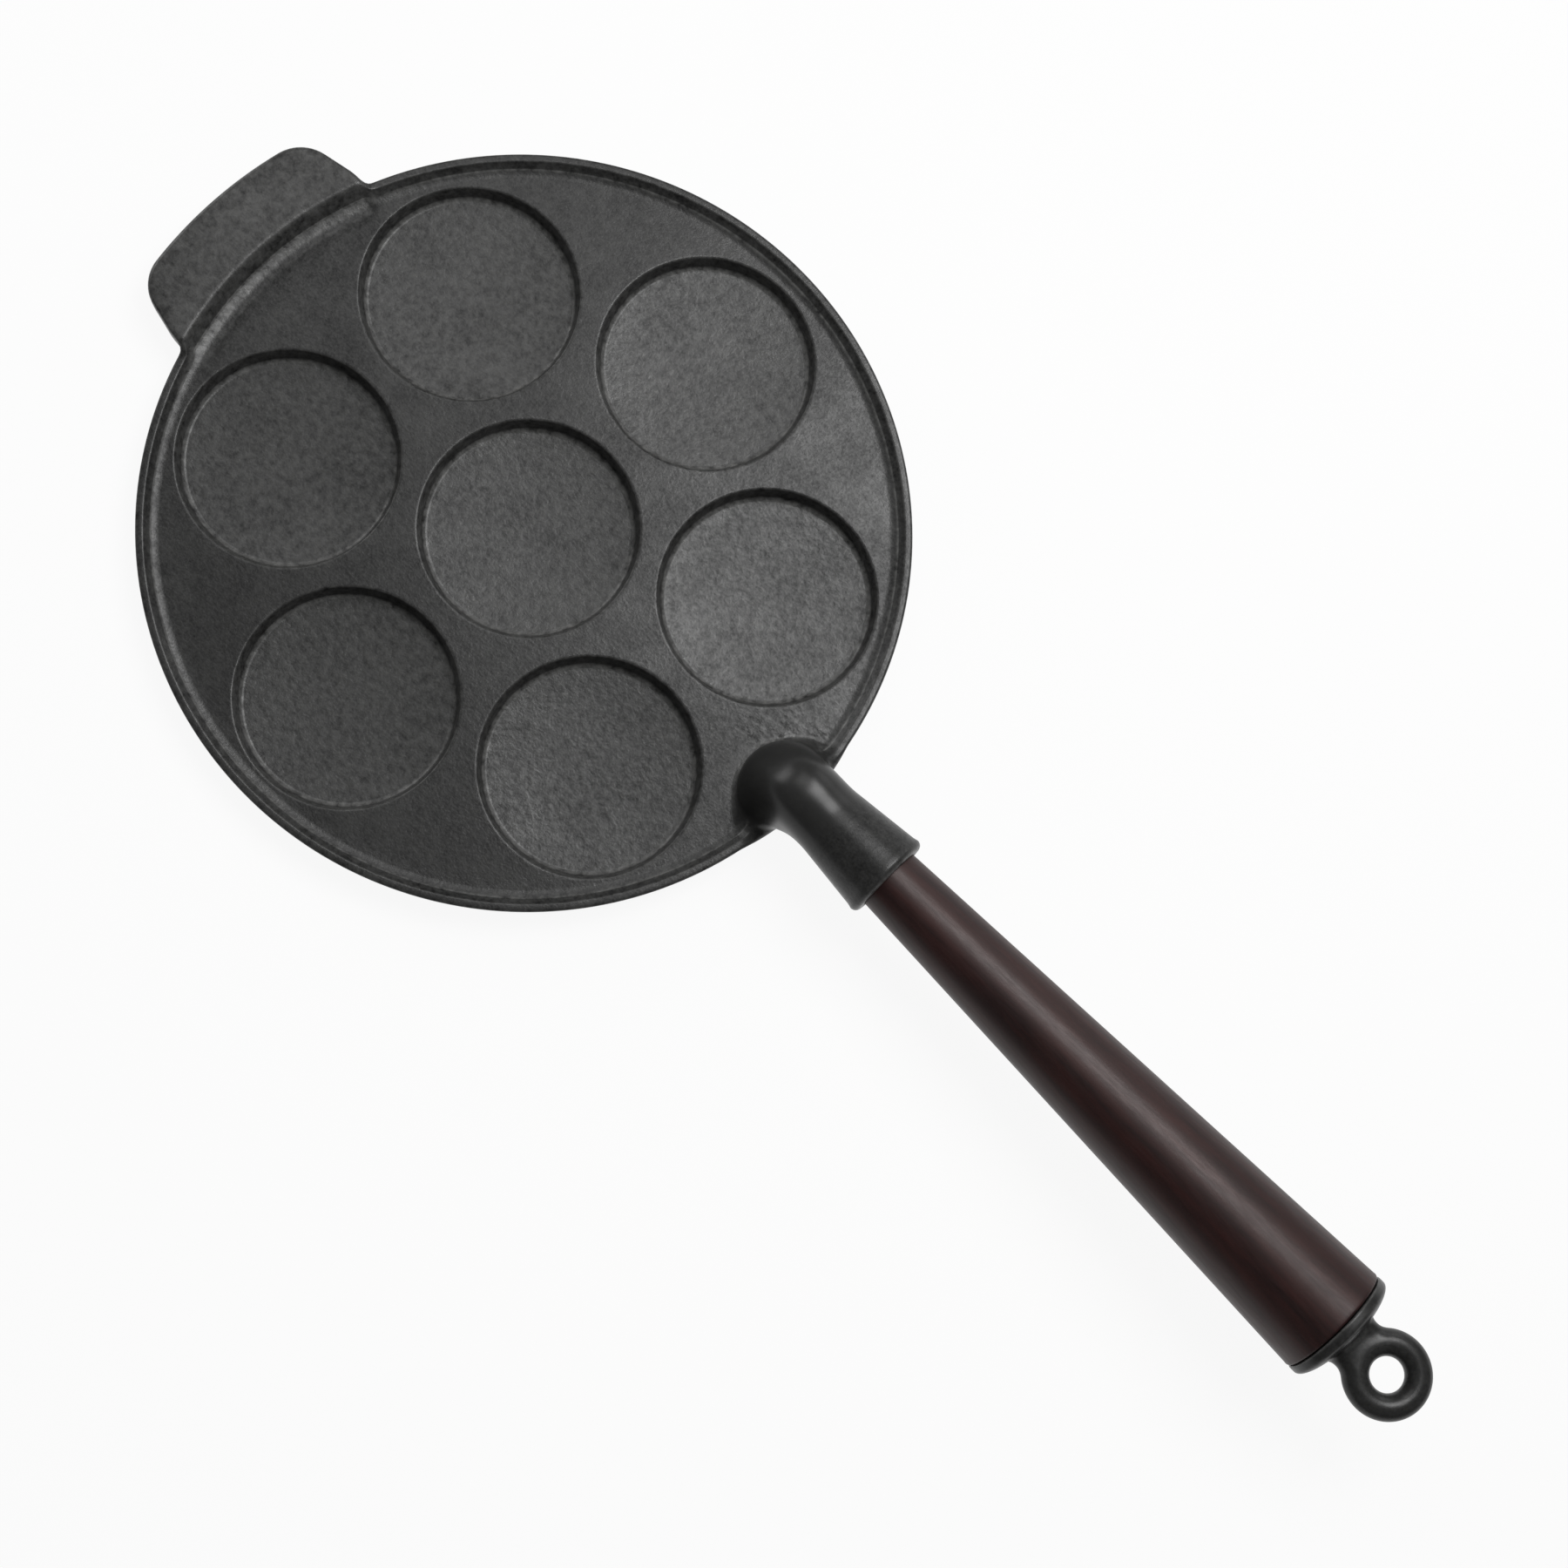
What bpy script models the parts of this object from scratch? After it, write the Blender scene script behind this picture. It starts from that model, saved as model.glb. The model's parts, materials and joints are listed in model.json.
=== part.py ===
"""Cast-iron blini pan: a round plate with seven shallow wells, a tab, and a turned wooden handle.

The casting is one solid. A tie rod runs through the wooden grip, from a tapped hole in the casting's
socket to the cast cap with the hanging eye. Metres, +Z up. The origin is the centre of the underside,
and the handle runs along +X, rising a little.
"""

import math

import bmesh
import bpy
from mathutils import Matrix, Vector

MM = 0.001
QUARTER_TURN = math.pi / 2
HALF_TURN = math.pi
FULL_TURN = 2 * math.pi

# Fits: the running gap kept between touching pieces, and how far a cutter passes a face
CLEARANCE = 0.3 * MM
OVERRUN = 2 * MM

# Plate and base
BASE_RADIUS = 111 * MM
BASE_EDGE_RADIUS = 2.5 * MM
PLATE_HEIGHT = 10 * MM

# Rim
RIM_RADIUS = 115 * MM
RIM_HEIGHT = 2.7 * MM
RIM_LAND_WIDTH = 2.6 * MM
RIM_EDGE_RADIUS = 0.8 * MM
RIM_FOOT_WIDTH = 3.8 * MM

# Wells: one in the middle and a ring of equal ones, two of them beside the handle
RING_WELL_COUNT = 6
WELL_PITCH_RADIUS = 74 * MM
WELL_RADIUS = 33.1 * MM
WELL_FLOOR_RADIUS = 31 * MM
WELL_DEPTH = 5.6 * MM
WELL_LIP_WIDTH = 0.5 * MM
WELL_FILLET_RADIUS = 1.4 * MM

# Tab opposite the handle
TAB_REACH = 20.5 * MM
TAB_HALF_WIDTH = 34.7 * MM
TAB_ROOT_FLARE = 2.8 * MM
TAB_CORNER_RADIUS = 12.5 * MM
TAB_RISE = 5 * MM
TAB_THICKNESS = 7.5 * MM
TAB_EDGE_RADIUS = 1.6 * MM
TAB_WALL_WIDTH = 3.4 * MM
TAB_ROOT_DEPTH = 1.5 * MM

# Handle axis: how far past the rim and above the plate the socket's mouth stands, and the axis' rise
MOUTH_REACH = 34.2 * MM
MOUTH_AXIS_HEIGHT = 20.3 * MM
AXIS_RISE = math.radians(4.4)

# Socket tube
SOCKET_LENGTH = 23.3 * MM
SOCKET_NECK_RADIUS = 11.3 * MM
SOCKET_MOUTH_RADIUS = 13.8 * MM
SOCKET_EDGE_RADIUS = 1.4 * MM

# Elbow that carries the socket up from the plate: its heel lies inside the rim
ELBOW_HEEL_INSET = 20.4 * MM
ELBOW_FOOT_LENGTH = 18.6 * MM
ELBOW_HALF_WIDTH = 15 * MM
ELBOW_SINK = 4.5 * MM
ELBOW_WIDEST_SHARE = 0.18

# Wooden grip
GRIP_LENGTH = 176.3 * MM
GRIP_FRONT_RADIUS = 9.95 * MM
GRIP_REAR_RADIUS = 17.9 * MM
GRIP_EDGE_RADIUS = 0.5 * MM
TENON_LENGTH = 16 * MM
ROD_PASSAGE = 0.6 * MM

# Tie rod
ROD_RADIUS = 3 * MM
ROD_CHAMFER = 0.6 * MM
ROD_PAN_THREAD = 11 * MM
ROD_CAP_THREAD = 8 * MM
TAPPED_HOLE_SPARE = 1.5 * MM

# End cap and hanging eye
CAP_EDGE_THICKNESS = 2.1 * MM
CAP_DOME_HEIGHT = 4.3 * MM
CAP_EDGE_RADIUS = 0.5 * MM
EYE_DISTANCE = 20.8 * MM
EYE_RADIUS = 13 * MM
EYE_HOLE_RADIUS = 5.1 * MM
EYE_THICKNESS = 8 * MM
EYE_BEAD_WIDTH = 4.4 * MM
EYE_WEB_THICKNESS = 4.4 * MM
EYE_HOLE_EDGE = 0.7 * MM
EYE_BEAD_TURN = math.radians(120)
NECK_HALF_WIDTH = 8.3 * MM
NECK_FLARE = 1.6 * MM
NECK_FLARE_LENGTH = 3 * MM

# How finely round shapes are cut into facets
PLATE_SEGMENTS = 96
WELL_SEGMENTS = 48
SOCKET_SEGMENTS = 36
GRIP_SEGMENTS = 48
ROD_SEGMENTS = 24
EYE_SEGMENTS = 40
ELBOW_STEPS = 9
TAB_ARC_STEPS = 8
CORNER_STEPS = 3
DOME_STEPS = 5
BEAD_STEPS = 6
SHARP_ANGLE = math.radians(35)


def mix(start, end, share):
    """The value that lies a share of the way from start to end."""
    return start + (end - start) * share


def arc(centre, radius, start, end, steps):
    """Points on a circle, or on an ellipse if radius is a pair, from angle start to angle end."""
    across, up = radius if isinstance(radius, tuple) else (radius, radius)
    angles = [mix(start, end, i / steps) for i in range(steps + 1)]
    return [(centre[0] + across * math.cos(a), centre[1] + up * math.sin(a)) for a in angles]


def axis_frame():
    """The handle's frame: origin at the socket's mouth, Z outward along the handle, Y level."""
    place = Matrix.Translation((RIM_RADIUS + MOUTH_REACH, 0, PLATE_HEIGHT + MOUTH_AXIS_HEIGHT))
    return place @ Matrix.Rotation(QUARTER_TURN - AXIS_RISE, 4, "Y")


def clear_scene():
    """Takes every object out of the scene."""
    for old in list(bpy.data.objects):
        bpy.data.objects.remove(old, do_unlink=True)


def make_material(name, colour, roughness, metallic):
    """A plain Principled material."""
    material = bpy.data.materials.new(name)
    material.use_nodes = True
    shader = material.node_tree.nodes["Principled BSDF"]
    shader.inputs["Base Color"].default_value = (*colour, 1)
    shader.inputs["Roughness"].default_value = roughness
    shader.inputs["Metallic"].default_value = metallic
    material.diffuse_color = (*colour, 1)
    return material


def finish_object(name, form, material, parent=None):
    """Closes a bmesh's normals outward and makes it an object, smooth apart from its sharp edges."""
    bmesh.ops.recalc_face_normals(form, faces=form.faces)
    mesh = bpy.data.meshes.new(name)
    form.to_mesh(mesh)
    form.free()
    mesh.shade_smooth()
    mesh.set_sharp_from_angle(angle=SHARP_ANGLE)
    mesh.materials.append(material)
    made = bpy.data.objects.new(name, mesh)
    bpy.context.scene.collection.objects.link(made)
    made.parent = parent
    return made


def bridge(form, rings):
    """Joins each ring of vertices to the next. A ring of one vertex closes to a point."""
    for low, high in zip(rings, rings[1:]):
        count = max(len(low), len(high))
        for i in range(count):
            j = (i + 1) % count
            corners = [low[i % len(low)], low[j % len(low)], high[j % len(high)], high[i % len(high)]]
            form.faces.new(dict.fromkeys(corners))


def close_ends(form, rings):
    """Fills the first and the last ring with a flat face, unless it is a point."""
    for ring in (rings[0], rings[-1]):
        if len(ring) > 1:
            form.faces.new(ring)


def turned(name, profile, segments, material, parent=None, closed=False):
    """A solid turned about Z from (radius, height) points.

    An open profile has flat ends, or a point where its radius is zero. A closed one goes round a bore.
    """
    form = bmesh.new()
    rings = []
    for radius, height in profile:
        turns = [FULL_TURN * i / segments for i in range(segments)] if radius else [0]
        rings.append([
            form.verts.new((radius * math.cos(a), radius * math.sin(a), height)) for a in turns
        ])
    bridge(form, rings + rings[:1] if closed else rings)
    if not closed:
        close_ends(form, rings)
    return finish_object(name, form, material, parent)


def lofted(name, loops, material, parent=None):
    """A solid through closed loops of points, with flat ends."""
    form = bmesh.new()
    rings = [[form.verts.new(point) for point in loop] for loop in loops]
    bridge(form, rings)
    close_ends(form, rings)
    return finish_object(name, form, material, parent)


def combine(body, tool, operation):
    """Adds a Boolean step to body, and keeps its tool out of the finished part."""
    step = body.modifiers.new(tool.name, "BOOLEAN")
    step.operation = operation
    step.solver = "EXACT"
    step.object = tool
    tool.hide_render = True
    tool.display_type = "WIRE"


def plate_profile():
    """The casting's section from the edge of the flat underside, round the rim, to the plate."""
    rim_top = PLATE_HEIGHT + RIM_HEIGHT
    rim_inside = RIM_RADIUS - RIM_LAND_WIDTH
    round_height = rim_top - RIM_EDGE_RADIUS
    draft = math.atan2(RIM_RADIUS - BASE_RADIUS, round_height)
    base_turn = QUARTER_TURN - draft
    base_flat = BASE_RADIUS - BASE_EDGE_RADIUS * math.tan(base_turn / 2)
    base_edge = arc(
        (base_flat, BASE_EDGE_RADIUS), BASE_EDGE_RADIUS,
        -QUARTER_TURN, base_turn - QUARTER_TURN, CORNER_STEPS,
    )
    outer_edge = arc(
        (RIM_RADIUS - RIM_EDGE_RADIUS, round_height), RIM_EDGE_RADIUS, 0, QUARTER_TURN, CORNER_STEPS
    )
    inner_edge = arc(
        (rim_inside + RIM_EDGE_RADIUS, round_height), RIM_EDGE_RADIUS,
        QUARTER_TURN, HALF_TURN, CORNER_STEPS,
    )
    foot = arc(
        (rim_inside - RIM_FOOT_WIDTH, round_height), (RIM_FOOT_WIDTH, round_height - PLATE_HEIGHT),
        0, -QUARTER_TURN, CORNER_STEPS + 1,
    )
    return [*base_edge, *outer_edge, *inner_edge, *foot[1:]]


def well_profile():
    """A cutter's section for one well, from the edge of its flat floor up past the plate."""
    floor = PLATE_HEIGHT - WELL_DEPTH
    wall_lean = math.atan2(WELL_RADIUS - WELL_FLOOR_RADIUS, WELL_DEPTH)
    foot_turn = QUARTER_TURN - wall_lean
    foot_flat = WELL_FLOOR_RADIUS - WELL_FILLET_RADIUS * math.tan(foot_turn / 2)
    foot = arc(
        (foot_flat, floor + WELL_FILLET_RADIUS), WELL_FILLET_RADIUS,
        -QUARTER_TURN, foot_turn - QUARTER_TURN, CORNER_STEPS,
    )
    lip = [
        (WELL_RADIUS - WELL_LIP_WIDTH * math.tan(wall_lean), PLATE_HEIGHT - WELL_LIP_WIDTH),
        (WELL_RADIUS + WELL_LIP_WIDTH, PLATE_HEIGHT + WELL_LIP_WIDTH),
    ]
    return [*foot, *lip]


def well_places():
    """The wells' centres: the middle one, then the ring, placed evenly to both sides of the handle."""
    step = FULL_TURN / RING_WELL_COUNT
    turns = [step * i + step / 2 for i in range(RING_WELL_COUNT)]
    ring = [(WELL_PITCH_RADIUS * math.cos(a), WELL_PITCH_RADIUS * math.sin(a), 0) for a in turns]
    return [(0, 0, 0), *ring]


def tab_outline():
    """Plan of the tab's free edge, from one root to the other, with the tab pointing along +X."""
    reach = RIM_RADIUS + TAB_REACH
    inner = reach - TAB_CORNER_RADIUS
    corner_y = TAB_HALF_WIDTH - TAB_CORNER_RADIUS
    corner_x = math.sqrt(inner ** 2 - corner_y ** 2)
    corner_turn = math.atan2(corner_y, corner_x)
    side_y = TAB_HALF_WIDTH + TAB_ROOT_FLARE
    root = (math.sqrt(RIM_RADIUS ** 2 - side_y ** 2) - TAB_ROOT_DEPTH, side_y)
    corner = arc((corner_x, corner_y), TAB_CORNER_RADIUS, QUARTER_TURN, corner_turn, TAB_ARC_STEPS)
    front = arc((0, 0), reach, corner_turn, 0, TAB_ARC_STEPS)
    half = [root, *corner, *front[1:]]
    return half + [(x, -y) for x, y in reversed(half[:-1])]


def tab_section(edge):
    """The tab's closed section from the rim's inner wall out to one point of its free edge."""
    turn = math.atan2(edge[1], edge[0])
    reach = math.hypot(*edge)
    top = PLATE_HEIGHT + TAB_RISE
    under = top - TAB_THICKNESS
    foot = RIM_RADIUS - RIM_LAND_WIDTH
    foot_height = PLATE_HEIGHT + RIM_HEIGHT - RIM_EDGE_RADIUS
    wall_top = foot + min(TAB_WALL_WIDTH, (reach - foot) / 2)
    edge_round = min(TAB_EDGE_RADIUS, (reach - wall_top) / 2)
    upper = arc((reach - edge_round, top - edge_round), edge_round, QUARTER_TURN, 0, CORNER_STEPS)
    lower = arc((reach - edge_round, under + edge_round), edge_round, 0, -QUARTER_TURN, CORNER_STEPS)
    section = [(foot, under), (foot, foot_height), (wall_top, top), *upper, *lower]
    return [(r * math.cos(turn + HALF_TURN), r * math.sin(turn + HALF_TURN), z) for r, z in section]


def elbow_loops():
    """Sections of the elbow, fanned about its bend from the plate up to the socket tube."""
    rise = (math.cos(AXIS_RISE), math.sin(AXIS_RISE))
    neck_x = RIM_RADIUS + MOUTH_REACH - SOCKET_LENGTH * rise[0]
    neck_height = MOUTH_AXIS_HEIGHT - SOCKET_LENGTH * rise[1]
    bend_drop = neck_height / rise[0]
    bend_x = neck_x + bend_drop * rise[1]
    neck_turn = QUARTER_TURN + AXIS_RISE
    heel = bend_x - (RIM_RADIUS - ELBOW_HEEL_INSET)
    toe = heel - ELBOW_FOOT_LENGTH
    loops = []
    for i in range(ELBOW_STEPS + 1):
        share = i / ELBOW_STEPS
        turn = mix(HALF_TURN, neck_turn, share)
        near = mix(toe, bend_drop - SOCKET_NECK_RADIUS, share)
        far = mix(heel, bend_drop + SOCKET_NECK_RADIUS, share)
        half_width = mix(ELBOW_HALF_WIDTH, SOCKET_NECK_RADIUS, math.sqrt(share))
        widest = near + (far - near) * mix(ELBOW_WIDEST_SHARE, 1 / 2, share)
        loop = []
        for k in range(SOCKET_SEGMENTS):
            around = FULL_TURN * k / SOCKET_SEGMENTS
            side = far - widest if math.cos(around) > 0 else widest - near
            reach = widest + side * math.cos(around)
            loop.append(Vector((
                bend_x + reach * math.cos(turn),
                half_width * math.sin(around),
                PLATE_HEIGHT + reach * math.sin(turn),
            )))
        loops.append(loop)
    sunk = [point - Vector((0, 0, ELBOW_SINK)) for point in loops[0]]
    return [sunk, *loops]


def socket_loops():
    """Sections of the socket tube from just past the elbow to its rounded mouth."""
    edge = arc(
        (SOCKET_MOUTH_RADIUS - SOCKET_EDGE_RADIUS, -SOCKET_EDGE_RADIUS), SOCKET_EDGE_RADIUS,
        0, QUARTER_TURN, CORNER_STEPS,
    )
    frame = axis_frame()
    loops = []
    for radius, height in edge:
        turns = [FULL_TURN * k / SOCKET_SEGMENTS for k in range(SOCKET_SEGMENTS)]
        loops.append([
            frame @ Vector((-radius * math.cos(a), radius * math.sin(a), height)) for a in turns
        ])
    return loops


def socket_bore_profile():
    """A cutter's section for the socket: the grip's bore, then the tapped hole behind it."""
    bore = GRIP_FRONT_RADIUS + CLEARANCE
    shoulder = -(TENON_LENGTH + CLEARANCE)
    hole = ROD_RADIUS + CLEARANCE
    bottom = shoulder - ROD_PAN_THREAD - TAPPED_HOLE_SPARE
    return [(0, bottom - hole / 2), (hole, bottom), (hole, shoulder), (bore, shoulder), (bore, OVERRUN)]


def make_pan_body(iron, handle_axis):
    """The casting: plate, rim, wells, tab, elbow and socket in one solid."""
    body = turned("pan_body", plate_profile(), PLATE_SEGMENTS, iron)
    tab = lofted("tab_form", [tab_section(edge) for edge in tab_outline()], iron)
    combine(body, tab, "UNION")
    elbow = lofted("elbow_form", elbow_loops() + socket_loops(), iron)
    combine(body, elbow, "UNION")
    for i, place in enumerate(well_places()):
        well = turned(f"well_cutter_{i}", well_profile(), WELL_SEGMENTS, iron)
        well.location = place
        combine(body, well, "DIFFERENCE")
    bore = turned("socket_cutter", socket_bore_profile(), SOCKET_SEGMENTS, iron, handle_axis)
    combine(body, bore, "DIFFERENCE")
    return body


def make_grip(wood, handle_axis):
    """The turned grip: a straight tenon in the socket, then the taper, with the rod's bore through it."""
    bore = ROD_RADIUS + ROD_PASSAGE
    slope = math.atan2(GRIP_REAR_RADIUS - GRIP_FRONT_RADIUS, GRIP_LENGTH)
    rear_round = arc(
        (GRIP_REAR_RADIUS - GRIP_EDGE_RADIUS, GRIP_LENGTH - GRIP_EDGE_RADIUS), GRIP_EDGE_RADIUS,
        -slope, QUARTER_TURN, CORNER_STEPS,
    )
    profile = [
        (bore, -TENON_LENGTH),
        (GRIP_FRONT_RADIUS - GRIP_EDGE_RADIUS, -TENON_LENGTH),
        (GRIP_FRONT_RADIUS, GRIP_EDGE_RADIUS - TENON_LENGTH),
        (GRIP_FRONT_RADIUS, 0),
        *rear_round,
        (bore, GRIP_LENGTH),
    ]
    return turned("handle_grip", profile, GRIP_SEGMENTS, wood, handle_axis, closed=True)


def make_tie_rod(steel, handle_axis):
    """The rod from the casting's tapped hole, through the grip, into the cap."""
    start = -(TENON_LENGTH + CLEARANCE + ROD_PAN_THREAD)
    end = GRIP_LENGTH + CLEARANCE + ROD_CAP_THREAD
    tip = ROD_RADIUS - ROD_CHAMFER
    profile = [
        (tip, start), (ROD_RADIUS, start + ROD_CHAMFER), (ROD_RADIUS, end - ROD_CHAMFER), (tip, end),
    ]
    return turned("tie_rod", profile, ROD_SEGMENTS, steel, handle_axis)


def eye_section():
    """Half of the eye's section in (distance from the hole's axis, height): bead, dish and hole edge."""
    bead_half = EYE_BEAD_WIDTH / 2
    bead_middle = EYE_RADIUS - bead_half
    upper = arc((bead_middle, 0), (bead_half, EYE_THICKNESS / 2), 0, EYE_BEAD_TURN, BEAD_STEPS)
    web = EYE_WEB_THICKNESS / 2
    lip = [(EYE_HOLE_RADIUS + EYE_HOLE_EDGE, web), (EYE_HOLE_RADIUS, web - EYE_HOLE_EDGE)]
    half = [*upper, *lip]
    return half + [(r, -h) for r, h in reversed(half[1:])]


def neck_loops():
    """Oval sections of the neck from inside the cap's dome to the eye's bead."""
    dome = CAP_EDGE_THICKNESS
    flare_end = CAP_EDGE_THICKNESS + CAP_DOME_HEIGHT + NECK_FLARE_LENGTH / 2
    eye_end = EYE_DISTANCE - (EYE_RADIUS - EYE_BEAD_WIDTH)
    stations = [(dome, NECK_FLARE * 2), (flare_end - NECK_FLARE_LENGTH, NECK_FLARE), (flare_end, 0),
                (eye_end, 0)]
    loops = []
    for height, flare in stations:
        section = arc(
            (0, 0), (EYE_THICKNESS / 2 + flare, NECK_HALF_WIDTH + flare), 0, FULL_TURN, ROD_SEGMENTS
        )
        loops.append([(x, y, height) for x, y in section[:-1]])
    return loops


def make_hanging_eye(iron, handle_axis):
    """The end cap with its neck, its hanging eye and the tapped hole for the rod."""
    seam = bpy.data.objects.new("cap_seat", None)
    bpy.context.scene.collection.objects.link(seam)
    seam.parent = handle_axis
    seam.location = (0, 0, GRIP_LENGTH + CLEARANCE)
    dome = arc(
        (0, CAP_EDGE_THICKNESS), (GRIP_REAR_RADIUS, CAP_DOME_HEIGHT), 0, QUARTER_TURN, DOME_STEPS
    )
    profile = [(GRIP_REAR_RADIUS - CAP_EDGE_RADIUS, 0), (GRIP_REAR_RADIUS, CAP_EDGE_RADIUS),
               *dome[:-1], (0, CAP_EDGE_THICKNESS + CAP_DOME_HEIGHT)]
    cap = turned("hanging_eye", profile, GRIP_SEGMENTS, iron, seam)
    ring = turned("eye_form", eye_section(), EYE_SEGMENTS, iron, seam, closed=True)
    ring.location = (0, 0, EYE_DISTANCE)
    ring.rotation_euler = (0, QUARTER_TURN, 0)
    combine(cap, ring, "UNION")
    neck = lofted("neck_form", neck_loops(), iron, seam)
    combine(cap, neck, "UNION")
    hole = ROD_RADIUS + CLEARANCE
    depth = ROD_CAP_THREAD + CLEARANCE
    thread = turned("thread_cutter", [(hole, -OVERRUN), (hole, depth)], ROD_SEGMENTS, iron, seam)
    combine(cap, thread, "DIFFERENCE")
    return cap


def main():
    """Builds the four pieces."""
    clear_scene()
    iron = make_material("cast_iron", (0.045, 0.045, 0.046), 0.5, 0.6)
    wood = make_material("lacquered_wood", (0.022, 0.006, 0.005), 0.3, 0)
    steel = make_material("zinced_steel", (0.55, 0.55, 0.56), 0.35, 1)
    handle_axis = bpy.data.objects.new("handle_axis", None)
    bpy.context.scene.collection.objects.link(handle_axis)
    handle_axis.matrix_world = axis_frame()
    make_pan_body(iron, handle_axis)
    make_grip(wood, handle_axis)
    make_tie_rod(steel, handle_axis)
    make_hanging_eye(iron, handle_axis)


if __name__ == "__main__":
    main()
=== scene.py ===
"""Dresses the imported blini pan: cast iron, lacquered wood, zinced steel, a floor, lights and a camera.

Run as a script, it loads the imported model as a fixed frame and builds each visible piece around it, in
metres and in that frame. Every piece stands for the CAD node of its shape and rides on its body.
"""

import json
import math

import bmesh
import bpy
import numpy as np
from bpy.props import FloatProperty, FloatVectorProperty, IntProperty, PointerProperty
from mathutils import Matrix, Vector, noise as hills
from mathutils.geometry import delaunay_2d_cdt


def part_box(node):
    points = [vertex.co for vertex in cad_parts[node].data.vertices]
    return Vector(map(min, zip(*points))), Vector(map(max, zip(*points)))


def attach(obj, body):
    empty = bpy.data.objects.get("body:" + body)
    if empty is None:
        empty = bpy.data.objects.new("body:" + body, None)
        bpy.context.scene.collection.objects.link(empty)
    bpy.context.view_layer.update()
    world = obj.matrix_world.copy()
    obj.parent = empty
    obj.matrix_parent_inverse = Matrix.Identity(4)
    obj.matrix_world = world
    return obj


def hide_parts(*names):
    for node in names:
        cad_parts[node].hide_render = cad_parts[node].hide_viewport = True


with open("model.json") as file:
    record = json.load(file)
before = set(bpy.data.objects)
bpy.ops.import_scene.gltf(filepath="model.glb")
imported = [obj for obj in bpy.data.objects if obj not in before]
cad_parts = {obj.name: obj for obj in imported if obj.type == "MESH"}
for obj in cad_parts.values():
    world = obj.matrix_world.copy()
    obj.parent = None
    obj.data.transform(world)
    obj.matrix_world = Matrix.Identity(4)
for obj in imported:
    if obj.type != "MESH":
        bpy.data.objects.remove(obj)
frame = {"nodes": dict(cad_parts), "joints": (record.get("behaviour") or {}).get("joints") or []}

bl_info = {
    "name": "Blini pan",
    "version": (1, 0, 0),
    "blender": (4, 5, 0),
    "location": "3D View > Sidebar > Blini pan",
    "description": "Builds the casting, wooden grip, tie rod and hanging eye of a cast-iron blini pan",
    "category": "Add Mesh",
}

MM = 0.001
SAME_PLACE = 0.002 * MM  # points of a new form that lie closer together become one
QUARTER_TURN = math.pi / 2
HALF_TURN = math.pi
FULL_TURN = 2 * math.pi

CASTING_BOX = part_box("pan_body")
RIM = CASTING_BOX[1].y / MM
TAB_END = -CASTING_BOX[0].x / MM
AXIS_JOINT = next(joint for joint in frame["joints"] if joint["name"] == "eye_turn")
MOUTH = Vector(AXIS_JOINT["pos_m"])
AXIS = Vector(AXIS_JOINT["axis"]).normalized()

# The rough patches of the plate in front of the elbow, and how pitted each well is.
ROUGH_PATCHES = np.array([(90, 7), (98, 10), (105, 18), (96, 15)]) * MM
PATCH_RADIUS = 7 * MM
PATCH_GRAIN = 1.1 * MM
PATCH_RELIEF = 0.35 * MM
WELL_PITTING = (0.1, 0.35, 0, 0.1, 0.1, 0.3, 0.6)

# The azimuth in degrees from which the casting's sections are closer together for the tab.
TAB_START = 156

# Painted light on the tab's top, sand and a painted highlight on the strip before it, paler wells'
# walls;
# the socket's mouth, a painted highlight, is 1.
TAB_PAINTED_LIGHT = 0.8
STRIP_SAND_AND_HIGHLIGHT = 0.6
WALL_PALENESS = 0.22

WHITE = (1, 1, 1, 1)

# Where the lamps aim, and the camera's place, aim and roll in degrees, fitted to the photograph.
LAMP_AIM = Vector((50 * MM, 0, 0))
CAMERA_PLACE = (0.127562, -0.122264, 0.776185)
CAMERA_AIM = (0.107716, 0.000786, 0.010)
CAMERA_ROLL = -45.823


def length(name, default, description):
    """A length property, with its default in millimetres."""
    return FloatProperty(
        name=name, description=description, default=default * MM, min=0, unit="LENGTH", precision=5
    )


def share(name, default, description):
    """A property from nought to one."""
    return FloatProperty(name=name, description=description, default=default, min=0, max=1)


def watts(name, default, description):
    """The power of a lamp."""
    return FloatProperty(name=name, description=description, default=default, min=0, unit="POWER")


def colour(name, default, description):
    """A colour property."""
    return FloatVectorProperty(
        name=name, description=description, default=default, size=3, min=0, max=1, subtype="COLOR"
    )


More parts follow.
